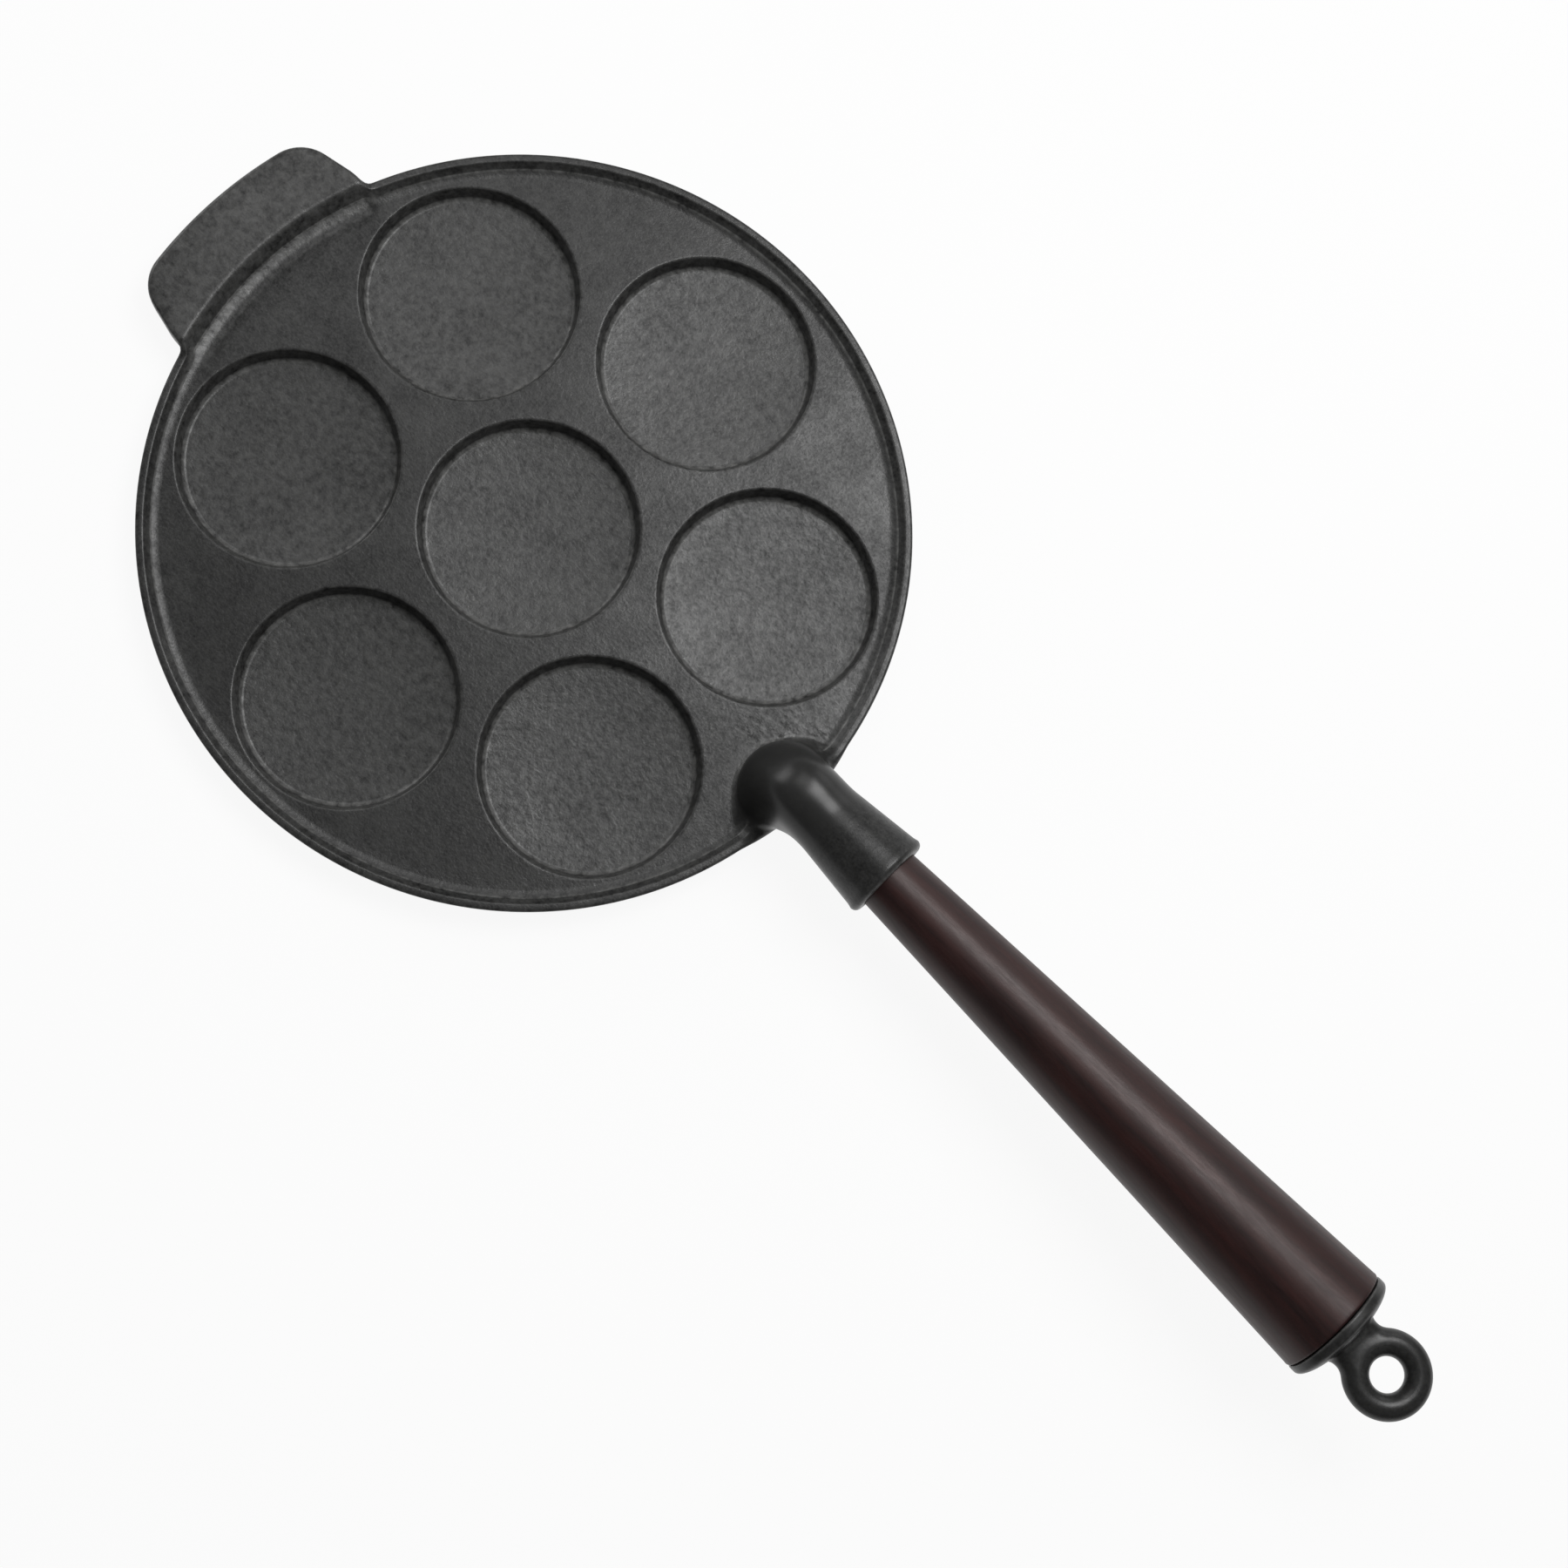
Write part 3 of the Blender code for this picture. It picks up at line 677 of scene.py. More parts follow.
class ElbowShape:
    """The elbow's sections, fanned about its bend from the plate up to the conical socket."""

    def __init__(self, sizes, elbow):
        self.elbow = elbow
        self.base = sizes.plate
        neck = MOUTH - AXIS * elbow.socket
        self.bend_drop = (neck.z - sizes.plate) / AXIS.x
        self.bend_x = neck.x + self.bend_drop * AXIS.z
        self.sweep = QUARTER_TURN - math.asin(AXIS.z)
        self.heel = self.bend_x - (sizes.rim_radius - elbow.heel_inset)
        self.toe = self.heel - elbow.foot
        self.cone = (elbow.mouth_radius - elbow.neck_radius) / elbow.socket

    def section(self, part):
        """Near and far reach, half width and widest reach of the section at a part of the sweep."""
        elbow = self.elbow
        near_end = self.bend_drop - elbow.neck_radius
        far_end = self.bend_drop + elbow.neck_radius
        near = curve(
            self.toe, near_end - self.toe, near_end, -self.cone * near_end * self.sweep, part
        )
        far = curve(self.heel, far_end - self.heel, far_end, self.cone * far_end * self.sweep, part)
        far = far + elbow.hump * np.sin(HALF_TURN * part ** elbow.hump_lean) ** 2
        half_width = curve(
            elbow.half_width, -elbow.narrowing,
            elbow.neck_radius, self.cone * self.bend_drop * self.sweep, part,
        )
        widest = mix(near, far, mix(elbow.widest, 1 / 2, part))
        return near, far, half_width, widest

    def power(self, part):
        """Exponent of the section's outline: 2 is an ellipse, more is squarer."""
        return 2 + self.elbow.square * np.sin(HALF_TURN * part) ** 2

    def loop(self, part, around):
        """The points of one section."""
        near, far, half_width, widest = self.section(part)
        side = np.where(np.cos(around) > 0, far - widest, widest - near)
        power = self.power(part)
        size = (np.abs(np.cos(around)) ** power + np.abs(np.sin(around)) ** power) ** (1 / power)
        reach = widest + side * np.cos(around) / size
        turn = HALF_TURN - part * self.sweep
        return np.column_stack([
            self.bend_x + reach * math.cos(turn), half_width * np.sin(around) / size,
            self.base + reach * math.sin(turn),
        ])

    def distance(self, points):
        """Distance to the elbow and the socket's cone, good near their surface."""
        x, y, z = points[:, 0] - self.bend_x, points[:, 1], points[:, 2] - self.base
        turn = np.where(z > 0, np.arctan2(z, x), HALF_TURN)
        reach = np.where(z > 0, np.hypot(x, z), -x)
        part = (HALF_TURN - turn) / self.sweep
        near, far, half_width, widest = self.section(np.clip(part, 0, 1))
        side = np.where(reach > widest, far - widest, widest - near)
        across, wide = np.abs(reach - widest) / side, np.abs(y) / half_width
        power = self.power(np.clip(part, 0, 1))
        level = np.maximum((across ** power + wide ** power) ** (1 / power), 1e-6)
        steep = np.hypot(
            (across / level) ** (power - 1) / side, (wide / level) ** (power - 1) / half_width
        )
        fan = np.maximum((level - 1) / np.maximum(steep, 1e-6), -z - self.elbow.sink / 3)
        offset = points - np.array(MOUTH)
        axis = np.array(AXIS)
        along = offset @ axis
        off_axis = np.linalg.norm(offset - along[:, None] * axis, axis=1)
        cone = off_axis - (self.elbow.mouth_radius + self.cone * along)
        return np.where((along > -self.elbow.socket) & (x > -self.heel), cone, fan)


def make_elbow(elbow, shape):
    """The elbow and the socket with its bore and tapped hole as one closed form."""
    shell = Shell()
    count = 72
    around = np.linspace(0, FULL_TURN, count, endpoint=False)
    parts = np.linspace(0, 1, 37) ** 1.3
    rings = []
    for drop in (elbow.sink, elbow.sink / 2):
        rings.append(shell.ring(shape.loop(0, around) - np.array([0, 0, drop])))
    rings += [shell.ring(shape.loop(part, around)) for part in parts]
    heights = np.linspace(-elbow.socket, -elbow.mouth_edge, 15)[1:]
    tube = [(elbow.mouth_radius + shape.cone * height, height) for height in heights]
    edge, chamfer = elbow.mouth_edge, 0.4 * MM
    lip = arc((elbow.mouth_radius - edge, -edge), edge, 0, QUARTER_TURN, 6)
    bottom = -elbow.bore_depth - elbow.hole_depth
    inside = [
        (elbow.bore + chamfer, 0), (elbow.bore, -chamfer), (elbow.bore, -elbow.bore_depth),
        (elbow.hole, -elbow.bore_depth), (elbow.hole, bottom),
    ]
    rings += rings_about_axis(shell, [*tube[:-1], *lip, *inside], count)
    shell.bridge(rings)
    shell.cap(rings[0])
    shell.cap(rings[-1])
    return shell.make("elbow_form")


def join_forms(body, tool):
    """Unites two closed forms into one mesh on the first object."""
    step = body.modifiers.new("union", "BOOLEAN")
    step.operation = "UNION"
    step.solver = "EXACT"
    step.object = tool
    apply_modifiers(body)
    old = tool.data
    bpy.data.objects.remove(tool)
    bpy.data.meshes.remove(old)


def weld(mesh, distance):
    """Merges points that lie closer together than the distance."""
    form = bmesh.new()
    form.from_mesh(mesh)
    bmesh.ops.remove_doubles(form, verts=form.verts, dist=distance)
    bmesh.ops.dissolve_degenerate(form, edges=form.edges, dist=distance / 10)
    form.to_mesh(mesh)
    form.free()


def fill_creases(mesh, sizes, elbow, shape):
    """Rounds the crease round the elbow, and returns all points, those it moved and their normals."""
    outline = [*rim_section(sizes), (0, 0), (0, sizes.plate)]

    def casting(points):
        """Distance to the plate and rim."""
        flat = np.column_stack([np.hypot(*points[:, :2].T), points[:, 2]])
        return outline_distance(flat, outline)

    def both(points):
        """The smooth union of casting and elbow."""
        inward = sizes.rim_radius - points[:, 0]
        depth = mix(elbow.fillet, elbow.heel_fillet, ease(inward / elbow.heel_inset))
        return run_together(casting(points), shape.distance(points), depth)

    points = points_of(mesh)
    reach = elbow.fillet * 1.2
    picked = np.flatnonzero((np.abs(shape.distance(points)) < reach) & (points[:, 0] > 0))
    picked = picked[np.abs(casting(points[picked])) < reach]
    points[picked] = settle(both, points[picked], rounds=7, reach=0.8 * MM)
    place_points(mesh, points)
    slopes = slope_of(both, points[picked])
    return points, picked, slopes / np.linalg.norm(slopes, axis=1)[:, None]


def along_axis(points):
    """How far points lie along the handle's axis from the socket's mouth."""
    return (points - np.array(MOUTH)) @ np.array(AXIS)


def smoothness(points, elbow, shape):
    """How smooth the skin is: smoothest on the elbow, less so on the socket."""
    fade_out, before_neck, fade_in = 4 * MM, 2 * MM, 8 * MM
    on_elbow = 1 - ease(shape.distance(points) / fade_out)
    past_neck = along_axis(points) + elbow.socket
    on_socket = ease((past_neck + before_neck) / fade_in) * (points[:, 0] > 0)
    return on_elbow * (1 - 0.7 * on_socket)


def roughen(points, sizes):
    """Raises the rough patches in front of the elbow, and returns how coarse the skin is."""
    plan, heights = points[:, :2], points[:, 2]
    plate_band = 0.3 * MM
    coarse = np.zeros(len(points))
    for patch in ROUGH_PATCHES:
        away = np.linalg.norm(plan - patch, axis=1)
        coarse = np.maximum(coarse, 1 - ease(away / PATCH_RADIUS))
    for place, pitting in zip(well_places(sizes), WELL_PITTING):
        away = np.linalg.norm(plan - place, axis=1)
        inside = (away < sizes.well_radius) & (heights < sizes.plate - sizes.well_depth / 2)
        coarse[inside] = np.maximum(coarse[inside], pitting)
    on_plate = np.abs(heights - sizes.plate) < plate_band
    for number in np.flatnonzero(on_plate & (coarse > 0.02)):
        swell = hills.noise(Vector(points[number]) / PATCH_GRAIN)
        heights[number] += coarse[number] * swell * PATCH_RELIEF
    return coarse


def wear_and_painted_light(points, sizes):
    """Painted light on the tab's top and a painted highlight on the socket's mouth, besides rubbed
    edges, and sand with a painted highlight on the strip and paler wells' walls, besides the hollows.
    """
    radii, heights = np.hypot(*points[:, :2].T), points[:, 2]
    edge = plate_edge(sizes)
    inset, fade_in, fade_out, mouth_band = 0.7 * MM, 0.8 * MM, 0.5 * MM, 0.9 * MM
    lip, foot, crest = 0.4 * MM, 0.2 * MM, 0.5 * MM
    # The strip before the tab: pale sand and a painted highlight.
    strip = ease((radii - edge - inset) / fade_in)
    strip *= ease((sizes.rim_radius - sizes.tab_foot - radii) / fade_out)
    strip *= ease((-points[:, 0] / radii - 0.88) / 0.08)
    # A painted highlight round the socket's mouth.
    mouth = ease(1 + along_axis(points) / mouth_band) * (points[:, 0] > 0)
    # Painted light over the tab's top.
    on_tab = (points[:, 0] < 0) & (heights > sizes.plate + sizes.rim_rise + crest)
    depths = sizes.plate - heights
    # The wells' walls, painted paler.
    on_wall = (depths > lip) & (depths < sizes.well_depth - foot) & (radii < edge)
    sandy = np.maximum.reduce([STRIP_SAND_AND_HIGHLIGHT * strip, mouth, WALL_PALENESS * on_wall])
    return np.maximum(mouth, TAB_PAINTED_LIGHT * on_tab), sandy


def finish_casting(piece, sizes, elbow, shape):
    """Rounds the creases, shades the casting and gives its skin relief, rubbed edges, sand and painted
    light.
    """
    mesh = piece.data
    weld(mesh, distance=0.12 * MM)
    points, picked, normals = fill_creases(mesh, sizes, elbow, shape)
    shade(mesh, sharp_degrees=38)
    given = np.zeros((len(points), 3))
    given[picked] = normals
    mesh.normals_split_custom_set_from_vertices(given)
    write_attribute(mesh, "smooth_skin", smoothness(points, elbow, shape))
    write_attribute(mesh, "coarse_skin", roughen(points, sizes))
    place_points(mesh, points)
    # Painted light on the tab and painted highlights on mouth, strip and feet, with rubbed edges and
    # sand.
    store_edges(mesh, *wear_and_painted_light(points, sizes))


def set_inputs(tree, node, inputs):
    """Sets or links some of a node's inputs."""
    for name, value in inputs.items():
        socket = node.inputs[name]
        if isinstance(value, bpy.types.NodeSocket):
            tree.links.new(value, socket)
        else:
            socket.default_value = value


def add_node(tree, kind, inputs=None, **settings):
    """A shader node with some of its inputs set or linked."""
    made = tree.nodes.new(kind)
    for name, value in settings.items():
        setattr(made, name, value)
    set_inputs(tree, made, inputs or {})
    return made


def new_finish(name, roughness):
    """A material with its shader, and the place on the object as texture coordinates."""
    material = bpy.data.materials.new(name)
    material.use_nodes = True
    tree = material.node_tree
    shader = tree.nodes["Principled BSDF"]
    shader.inputs["Roughness"].default_value = roughness
    place = add_node(tree, "ShaderNodeTexCoord").outputs["Object"]
    return material, tree, shader, place


def noise(tree, place, scale, detail, roughness=0.5):
    """A noise texture's value."""
    return add_node(tree, "ShaderNodeTexNoise", {
        "Vector": place, "Scale": scale, "Detail": detail, "Roughness": roughness
    }).outputs["Fac"]


def dimmed(bright, part):
    """A colour at a part of its brightness."""
    return tuple(part * value for value in bright)


def blend_colours(tree, factor, low, high, start=0.0, end=1.0):
    """A colour between two, by a factor."""
    ramp = add_node(tree, "ShaderNodeValToRGB", {"Fac": factor})
    ramp.color_ramp.elements[0].position = start
    ramp.color_ramp.elements[1].position = end
    ramp.color_ramp.elements[0].color = (*low, 1)
    ramp.color_ramp.elements[1].color = (*high, 1)
    return ramp.outputs["Color"]


def rescale(tree, value, low, high, start=0.0, end=1.0):
    """A value carried from one range to another."""
    return add_node(tree, "ShaderNodeMapRange", {
        "Value": value, "From Min": start, "From Max": end, "To Min": low, "To Max": high
    }).outputs["Result"]


def combine_values(tree, operation, first, second):
    """One sum or product of two values."""
    return add_node(
        tree, "ShaderNodeMath", {0: first, 1: second}, operation=operation
    ).outputs["Value"]


def cast_iron(finishes, name, grain_share=1.0):
    """Grey cast iron with a sandy skin, darker patches, pits and paler edges and feet, partly painted
    light.
    """
    material, tree, shader, place = new_finish(name, finishes.iron_gloss)

    def skin(attribute):
        """One of the mesh's stored values."""
        return add_node(tree, "ShaderNodeAttribute", attribute_name=attribute).outputs["Fac"]

    grain = noise(tree, place, scale=1180, detail=2, roughness=0.6)
    lumps = noise(tree, place, scale=420, detail=3, roughness=0.6)
    patches = noise(tree, place, scale=60, detail=5, roughness=0.65)
    mottled = combine_values(tree, "ADD", patches, rescale(tree, lumps, -0.14, 0.14, 0.3, 0.7))
    toned = combine_values(tree, "ADD", mottled, rescale(tree, grain, -0.17, 0.17, 0.3, 0.7))
    settled = add_node(tree, "ShaderNodeMix", {
        "Factor": rescale(tree, skin("smooth_skin"), 0, 0.85), "A": toned, "B": 0.5,
    }).outputs["Result"]
    # The pale share: rubbed edges and sand, with painted highlights and painted light from the mesh.
    wear_with_painted_light = rescale(tree, skin("worn_edge_and_painted_light"), 0, 0.22)
    pale = combine_values(tree, "ADD", wear_with_painted_light, rescale(tree, skin("sand_and_painted_highlight"), 0, 0.6))
    paler = combine_values(tree, "MULTIPLY", pale, rescale(tree, lumps, 0.2, 1.3, 0.3, 0.7))
    lit = add_node(tree, "ShaderNodeMix", {
        "Factor": paler,
        "A": blend_colours(tree, settled, finishes.iron_dark, finishes.iron, 0.2, 0.8),
        "B": (*finishes.iron_pale, 1),
    }, data_type="RGBA")
    gloss = finishes.iron_gloss
    mottle = rescale(tree, settled, gloss + 0.09, gloss - 0.07, 0.2, 0.8)
    polish = rescale(tree, skin("smooth_skin"), 0, -0.04)
    sandy = combine_values(tree, "MULTIPLY", rescale(tree, skin("smooth_skin"), 1, 0.12), grain_share)
    rough = combine_values(tree, "ADD", skin("coarse_skin"), skin("sand_and_painted_highlight"))
    strong = combine_values(tree, "ADD", sandy, rescale(tree, rough, 0, 0.9))
    fine = add_node(tree, "ShaderNodeBump", {
        "Height": combine_values(tree, "MULTIPLY", grain, sandy), "Distance": 0.05 * MM
    })
    broad = add_node(tree, "ShaderNodeBump", {
        "Height": combine_values(tree, "MULTIPLY", lumps, strong), "Distance": 0.08 * MM,
        "Normal": fine.outputs["Normal"],
    })
    set_inputs(tree, shader, {
        "Base Color": lit.outputs["Result"], "Specular IOR Level": 0.3,
        "Roughness": combine_values(tree, "ADD", mottle, polish), "Normal": broad.outputs["Normal"],
    })
    return material


def lacquered_wood(finishes):
    """Dark stained wood with fine grain along the handle, under a clear lacquer."""
    material, tree, shader, place = new_finish("lacquered_wood", finishes.wood_gloss)
    gloss = finishes.wood_gloss

    def drawn_out(*scale):
        """The place in the handle's own directions, scaled less along its axis."""
        return add_node(tree, "ShaderNodeMapping", {
            "Vector": place, "Rotation": (0, math.asin(AXIS.z), 0), "Scale": scale
        }).outputs["Vector"]

    figure = noise(tree, drawn_out(12, 330, 330), scale=1, detail=5, roughness=0.6)
    fibre = noise(tree, drawn_out(60, 1500, 1500), scale=1, detail=3, roughness=0.6)
    bump = add_node(tree, "ShaderNodeBump", {"Height": fibre, "Distance": 0.012 * MM})
    set_inputs(tree, shader, {
        "Base Color": blend_colours(tree, figure, finishes.wood_dark, finishes.wood, 0.35, 0.7),
        "Roughness": rescale(tree, fibre, gloss - 0.05, gloss + 0.08, 0.3, 0.7),
        "Normal": bump.outputs["Normal"],
        "Coat Weight": finishes.lacquer, "Coat Roughness": 0.32,
        "Specular IOR Level": 0.42, "Specular Tint": (1, 0.84, 0.82, 1),
    })
    return material


def zinced_steel(finishes):
    """Dull zinc on steel."""
    material, tree, shader, place = new_finish("zinced_steel", 0.35)
    spangle = noise(tree, place, scale=900, detail=3)
    dull = dimmed(finishes.steel, 0.7)
    set_inputs(tree, shader, {
        "Base Color": blend_colours(tree, spangle, dull, finishes.steel, 0.3, 0.7),
        "Roughness": rescale(tree, spangle, 0.28, 0.45, 0.3, 0.7), "Metallic": 1,
    })
    return material


class BLINIPAN_OT_casting(bpy.types.Operator):
    """Builds the iron casting: plate, wells, rim, tab, elbow and socket"""

    bl_idname = "blini_pan.casting"
    bl_label = "Cast pan"

    def execute(self, context):
        scene = context.scene
        sizes, elbow = scene.casting_sizes, scene.elbow_sizes
        shape = ElbowShape(sizes, elbow)
        piece = make_plate(sizes, elbow)
        join_forms(piece, make_elbow(elbow, shape))
        finish_casting(piece, sizes, elbow, shape)
        dress(piece, cast_iron(scene.finishes, "cast_iron"), "pan_body", "pan")
        return {"FINISHED"}


class BLINIPAN_OT_grip(bpy.types.Operator):
    """Turns the tapered wooden grip with its tenon and bore"""

    bl_idname = "blini_pan.grip"
    bl_label = "Wooden grip"

    def execute(self, context):
        sizes = context.scene.grip_sizes
        slope = math.atan2(sizes.rear - sizes.front, sizes.reach)
        heights = np.linspace(0, sizes.reach - 2 * sizes.edge, 24)
        taper = [(mix(sizes.front, sizes.rear, h / sizes.reach), h) for h in heights]
        rear = arc(
            (sizes.rear - sizes.edge, sizes.reach - sizes.edge), sizes.edge, -slope, QUARTER_TURN, 5
        )
        profile = [
            (sizes.passage, -sizes.tenon), (sizes.front - sizes.edge, -sizes.tenon),
            (sizes.front, sizes.edge - sizes.tenon), *taper, *rear, (sizes.passage, sizes.reach),
        ]
        shell = Shell()
        rings = rings_about_axis(shell, profile, segments=96)
        shell.bridge([*rings, rings[0]])
        piece = shell.make("wooden_grip")
        shade(piece.data, sharp_degrees=38)
        wood = lacquered_wood(context.scene.finishes)
        dress(piece, wood, "handle_grip", "grip")
        return {"FINISHED"}


class BLINIPAN_OT_rod(bpy.types.Operator):
    """Turns the steel rod and cuts a thread on both of its ends"""

    bl_idname = "blini_pan.rod"
    bl_label = "Tie rod"

    def execute(self, context):
        sizes = context.scene.grip_sizes
        start, end = -sizes.rod_start, sizes.reach + sizes.rod_end

        def threaded(radius, height, turns):
            """Radius of the rod's surface: a helix near its ends, plain between them."""
            from_end = min(height - start, end - height)
            depth = sizes.thread_depth * float(ease((sizes.thread_run - from_end) / sizes.thread_pitch))
            phase = (height / sizes.thread_pitch + turns / FULL_TURN) % 1
            return radius - depth * np.abs(2 * phase - 1)

        chamfer = sizes.thread_depth
        step = sizes.thread_pitch / 8
        near = np.arange(start + chamfer, start + sizes.thread_run + sizes.thread_pitch, step)
        far = np.arange(end - sizes.thread_run - sizes.thread_pitch, end - chamfer, step)
        heights = [*near, *np.linspace(near[-1], far[0], 12)[1:-1], *far]
        profile = [(sizes.rod - chamfer, start), *[(sizes.rod, h) for h in heights],
                   (sizes.rod - chamfer, end)]
        shell = Shell()
        rings = rings_about_axis(shell, profile, segments=32, radius_of=threaded)
        shell.bridge(rings)
        shell.cap(rings[0])
        shell.cap(rings[-1])
        piece = shell.make("threaded_rod")
        shade(piece.data, sharp_degrees=30)
        dress(piece, zinced_steel(context.scene.finishes), "tie_rod", "eye")
        return {"FINISHED"}


def cap_outline(sizes):
    """Half of the cap's section as radius and height, with its domed top."""
    edge = arc(
        (sizes.cap_radius - sizes.cap_edge, sizes.cap_edge), sizes.cap_edge, -QUARTER_TURN, 0, 4
    )
    dome = arc((0, sizes.cap_side), (sizes.cap_radius, sizes.cap_dome), 0, QUARTER_TURN, 24)
    return [*edge, *dome, (0, 0)]


def eye_field(sizes):
    """The distance field of cap, neck and eye in the cap's own frame: Z outward, Y level, X down."""
    outline = cap_outline(sizes)
    ring = (sizes.eye_radius + sizes.hole) / 2
    bar = (sizes.eye_radius - sizes.hole) / 2
    web_run, neck_fillet = 4 * MM, 1.5 * MM

    def field(points):
        """Distance at each point."""
        x, y, z = points.T
        off_axis = np.hypot(x, y)
        cap = outline_distance(np.column_stack([off_axis, z]), outline)
        to_hole = np.hypot(y, z - sizes.distance)
        eye = np.hypot(to_hole - ring, x) - bar
        web = mix(bar, sizes.neck_web, ease((z - sizes.rod_depth) / web_run))
        neck = np.hypot(np.maximum(np.abs(y) - sizes.neck_width + web, 0), x) - web
        neck = np.maximum(neck, np.maximum(z - sizes.distance, ring - to_hole))
        solid = run_together(run_together(neck, eye, neck_fillet), cap, sizes.fillet)
        bore = np.maximum(off_axis - sizes.rod_hole, z - sizes.rod_depth)
        return np.maximum(solid, -bore)

    return field


class BLINIPAN_OT_eye(bpy.types.Operator):
    """Builds the end cap with its neck and hanging eye"""

    bl_idname = "blini_pan.eye"
    bl_label = "Hanging eye"

    def execute(self, context):
        sizes = context.scene.eye_sizes
        place = np.array(axis_matrix(context.scene.grip_sizes.reach + sizes.gap))
        turn, origin = place[:3, :3], place[:3, 3]
        piece = bpy.data.objects.new("end_cap_eye", frame["nodes"]["hanging_eye"].data.copy())
        context.scene.collection.objects.link(piece)
        remesh = piece.modifiers.new("even", "REMESH")
        remesh.mode = "VOXEL"
        remesh.voxel_size = sizes.mesh_step
        apply_modifiers(piece)
        mesh = piece.data
        field = eye_field(sizes)
        local = settle(field, (points_of(mesh) - origin) @ turn, rounds=10, reach=0.4 * MM)
        place_points(mesh, local @ turn.T + origin)
        shade(mesh, sharp_degrees=60)
        slopes = slope_of(field, local, step=0.15 * MM)
        normals = slopes / np.linalg.norm(slopes, axis=1)[:, None]
        mesh.normals_split_custom_set_from_vertices(normals @ turn.T)
        write_attribute(mesh, "smooth_skin", np.full(len(local), 0.6))
        # Pale rubbed edges, and sand with a painted highlight in the hollows.
        store_edges(mesh)
        iron = cast_iron(context.scene.finishes, "eye_iron", 0.7)
        dress(piece, iron, "hanging_eye", "eye")
        return {"FINISHED"}


def look_at(made, place, aim, roll):
    """Puts a lamp or camera at a place, aims it and rolls it about its line of sight."""
    forward = (Vector(aim) - Vector(place)).normalized()
    level = (Vector((0, 1, 0)) - forward * forward.y).normalized()
    side = forward.cross(level)
    up = level * math.cos(roll) + side * math.sin(roll)
    right = forward.cross(up)
    turned = Matrix((right, up, -forward)).transposed()
    made.matrix_world = Matrix.Translation(place) @ turned.to_4x4()


def add_lamp(name, height, turn, size, power):
    """A rectangular soft lamp a metre from the pan, by its height and turn in degrees."""
    lamp = bpy.data.lights.new(name, "AREA")
    lamp.shape = "RECTANGLE"
    lamp.size, lamp.size_y = size
    lamp.energy = power
    made = bpy.data.objects.new(name, lamp)
    bpy.context.scene.collection.objects.link(made)
    height, turn = math.radians(height), math.radians(turn)
    level = math.cos(height)
    away = Vector((level * math.cos(turn), level * math.sin(turn), math.sin(height)))
    look_at(made, LAMP_AIM + away, LAMP_AIM, 0)


def floor_finish(finishes):
    """A pale floor that looks nearly white to the camera and keeps the object's soft shadow."""
    material, tree, shader, place = new_finish("floor_paper", 0.9)
    clouds = noise(tree, place, scale=3, detail=2)
    set_inputs(tree, shader, {
        "Base Color": blend_colours(tree, clouds, dimmed(finishes.floor, 0.98), finishes.floor),
    })
    path = add_node(tree, "ShaderNodeLightPath").outputs
    mirrored = combine_values(tree, "ADD", path["Is Glossy Ray"], path["Is Transmission Ray"])
    seen = combine_values(tree, "ADD", path["Is Camera Ray"], mirrored)
    glow = add_node(tree, "ShaderNodeEmission", {"Color": WHITE, "Strength": 1})
    blended = add_node(tree, "ShaderNodeMixShader", {
        0: combine_values(tree, "MULTIPLY", seen, 0.92), 1: shader.outputs[0], 2: glow.outputs[0],
    })
    set_inputs(tree, tree.nodes["Material Output"], {"Surface": blended.outputs[0]})
    return material


def even_sky(stage):
    """A dim even sky that the camera sees as a white backdrop."""
    world = bpy.data.worlds.new("even_sky")
    world.use_nodes = True
    tree = world.node_tree
    sky = tree.nodes["Background"]
    set_inputs(tree, sky, {"Color": WHITE, "Strength": stage.sky})
    backdrop = add_node(tree, "ShaderNodeBackground", {"Color": WHITE, "Strength": 1})
    path = add_node(tree, "ShaderNodeLightPath").outputs
    seen = add_node(tree, "ShaderNodeMixShader", {
        0: path["Is Camera Ray"], 1: sky.outputs[0], 2: backdrop.outputs[0],
    })
    set_inputs(tree, tree.nodes["World Output"], {"Surface": seen.outputs[0]})
    return world


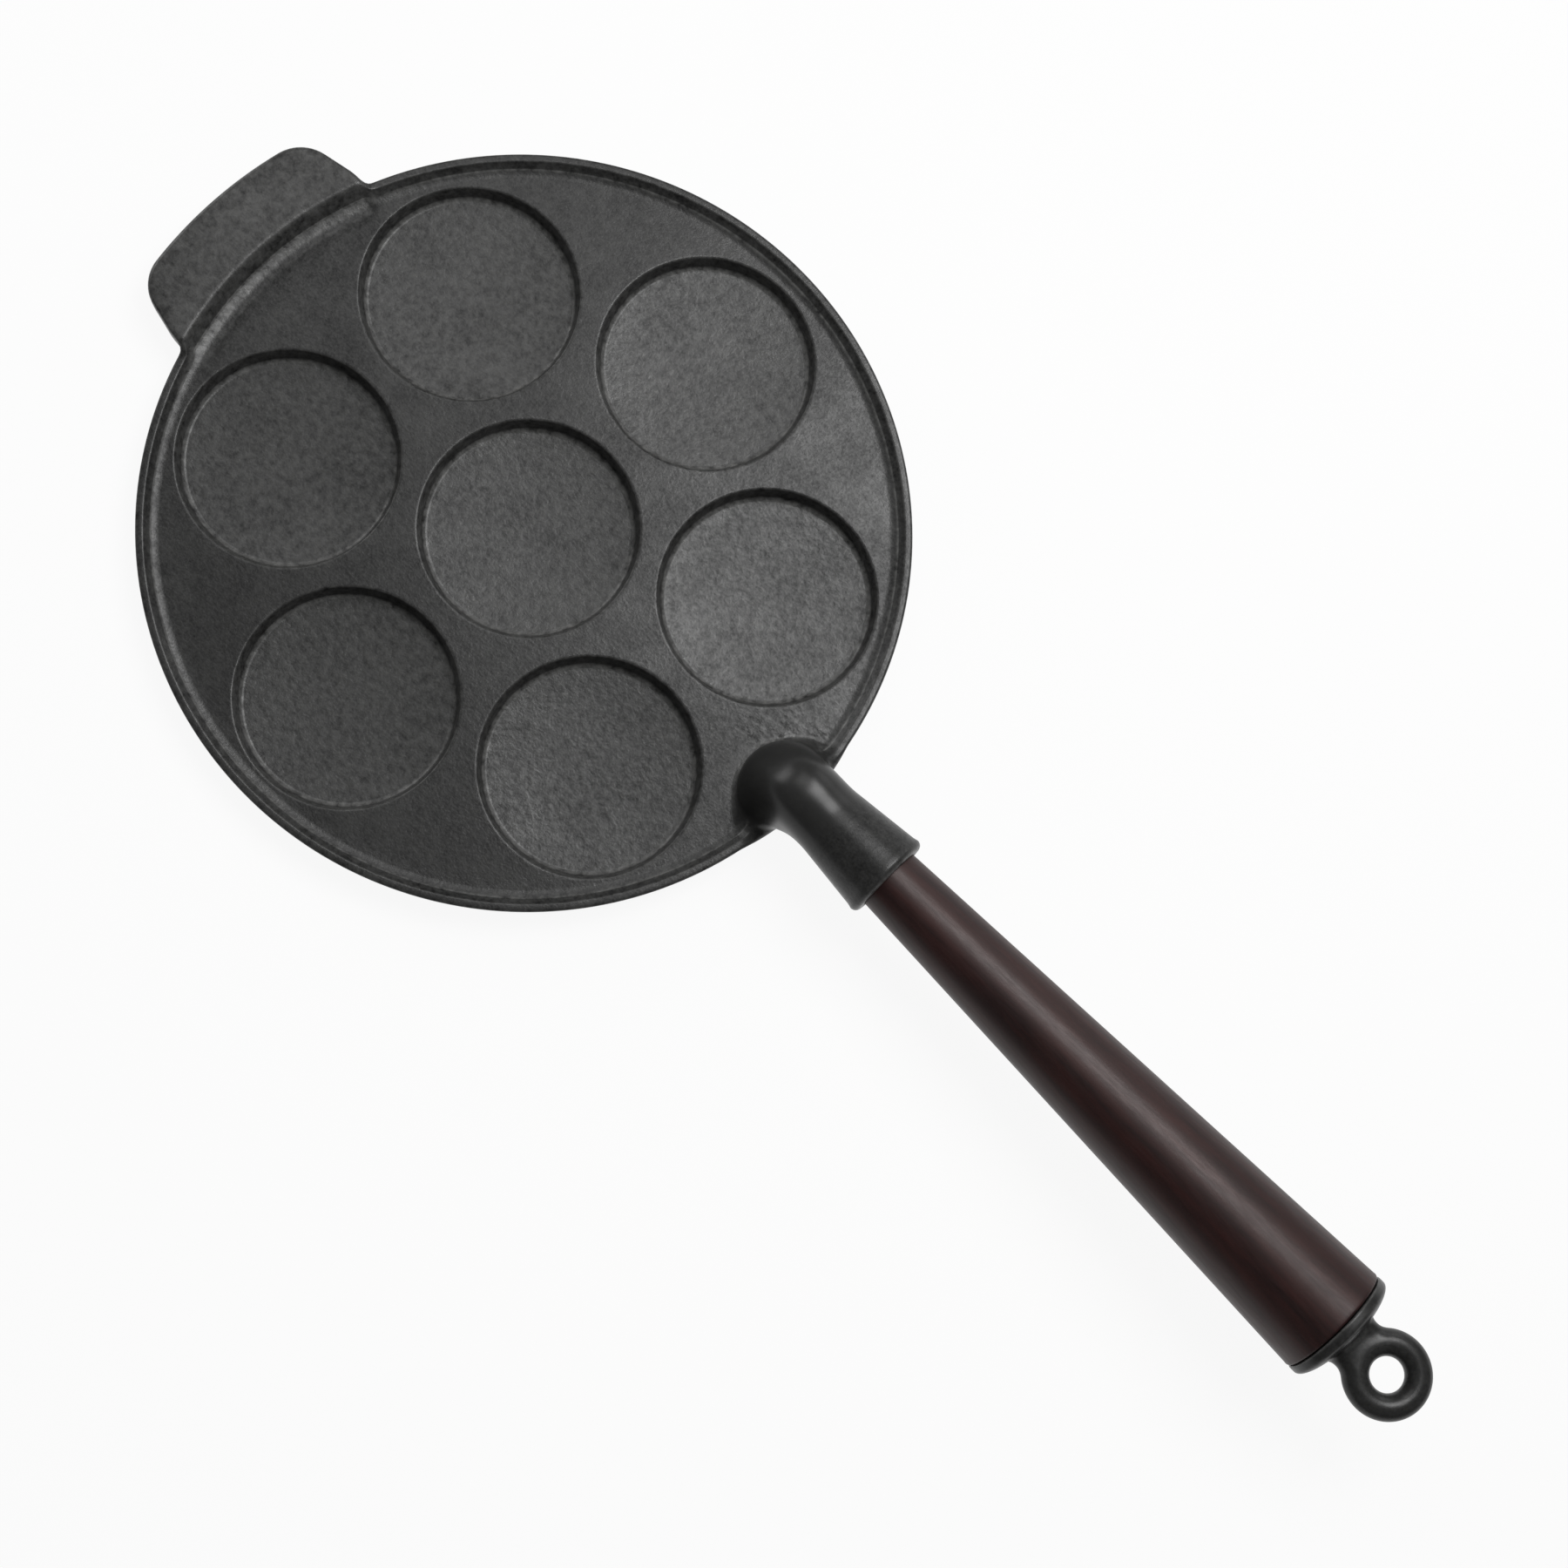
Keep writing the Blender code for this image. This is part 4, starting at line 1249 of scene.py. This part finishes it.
class BLINIPAN_OT_stage(bpy.types.Operator):
    """Lays the pale floor, hangs the soft lamps and places the camera"""

    bl_idname = "blini_pan.stage"
    bl_label = "Floor, lights and camera"

    def execute(self, context):
        scene = context.scene
        stage = scene.stage_sizes
        half = stage.floor_span / 2
        shell = Shell()
        shell.cap(shell.ring([(-half, -half, 0), (half, -half, 0), (half, half, 0), (-half, half, 0)]))
        floor = shell.make("floor")
        floor.data.materials.append(floor_finish(scene.finishes))
        width = stage.lamp_width
        for name, height, turn, long, power in (
            ("main_lamp", 66, 82, stage.lamp_length, stage.main_power),
            ("side_lamp", 15, 180, width, stage.side_power),
            ("fill_lamp", 55, 150, width, stage.fill_power),
            ("low_lamp", 20, 90, width, stage.low_power),
        ):
            add_lamp(name, height, turn, (width, long), power)
        scene.world = even_sky(stage)
        scene.view_settings.view_transform = "Standard"
        lens = bpy.data.cameras.new("camera")
        lens.lens = stage.lens
        lens.sensor_width = 36
        camera = bpy.data.objects.new("camera", lens)
        scene.collection.objects.link(camera)
        look_at(camera, CAMERA_PLACE, CAMERA_AIM, math.radians(CAMERA_ROLL))
        scene.camera = camera
        return {"FINISHED"}


class BLINIPAN_PT_parts(bpy.types.Panel):
    """Lists the operators that build the pan"""

    bl_idname = "BLINIPAN_PT_parts"
    bl_label = "Blini pan"
    bl_space_type = "VIEW_3D"
    bl_region_type = "UI"
    bl_category = "Blini pan"

    def draw(self, context):
        for operator in OPERATORS:
            self.layout.operator(operator.bl_idname)


GROUPS = {
    "casting_sizes": CastingSizes,
    "elbow_sizes": ElbowSizes,
    "grip_sizes": GripSizes,
    "eye_sizes": EyeSizes,
    "finishes": Finishes,
    "stage_sizes": StageSizes,
}
OPERATORS = (
    BLINIPAN_OT_casting, BLINIPAN_OT_grip, BLINIPAN_OT_rod, BLINIPAN_OT_eye, BLINIPAN_OT_stage
)


def register():
    """Registers the classes and hangs the sizes and colours on the scene."""
    for kind in (*GROUPS.values(), *OPERATORS, BLINIPAN_PT_parts):
        bpy.utils.register_class(kind)
    for name, group in GROUPS.items():
        setattr(bpy.types.Scene, name, PointerProperty(type=group))


def unregister():
    """Takes the sizes, colours and classes away again."""
    for name in GROUPS:
        delattr(bpy.types.Scene, name)
    for kind in reversed((*GROUPS.values(), *OPERATORS, BLINIPAN_PT_parts)):
        bpy.utils.unregister_class(kind)


def main():
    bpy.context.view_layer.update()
    register()
    for operator in (
        bpy.ops.blini_pan.casting, bpy.ops.blini_pan.grip, bpy.ops.blini_pan.rod,
        bpy.ops.blini_pan.eye, bpy.ops.blini_pan.stage,
    ):
        operator()


if __name__ == "__main__":
    main()
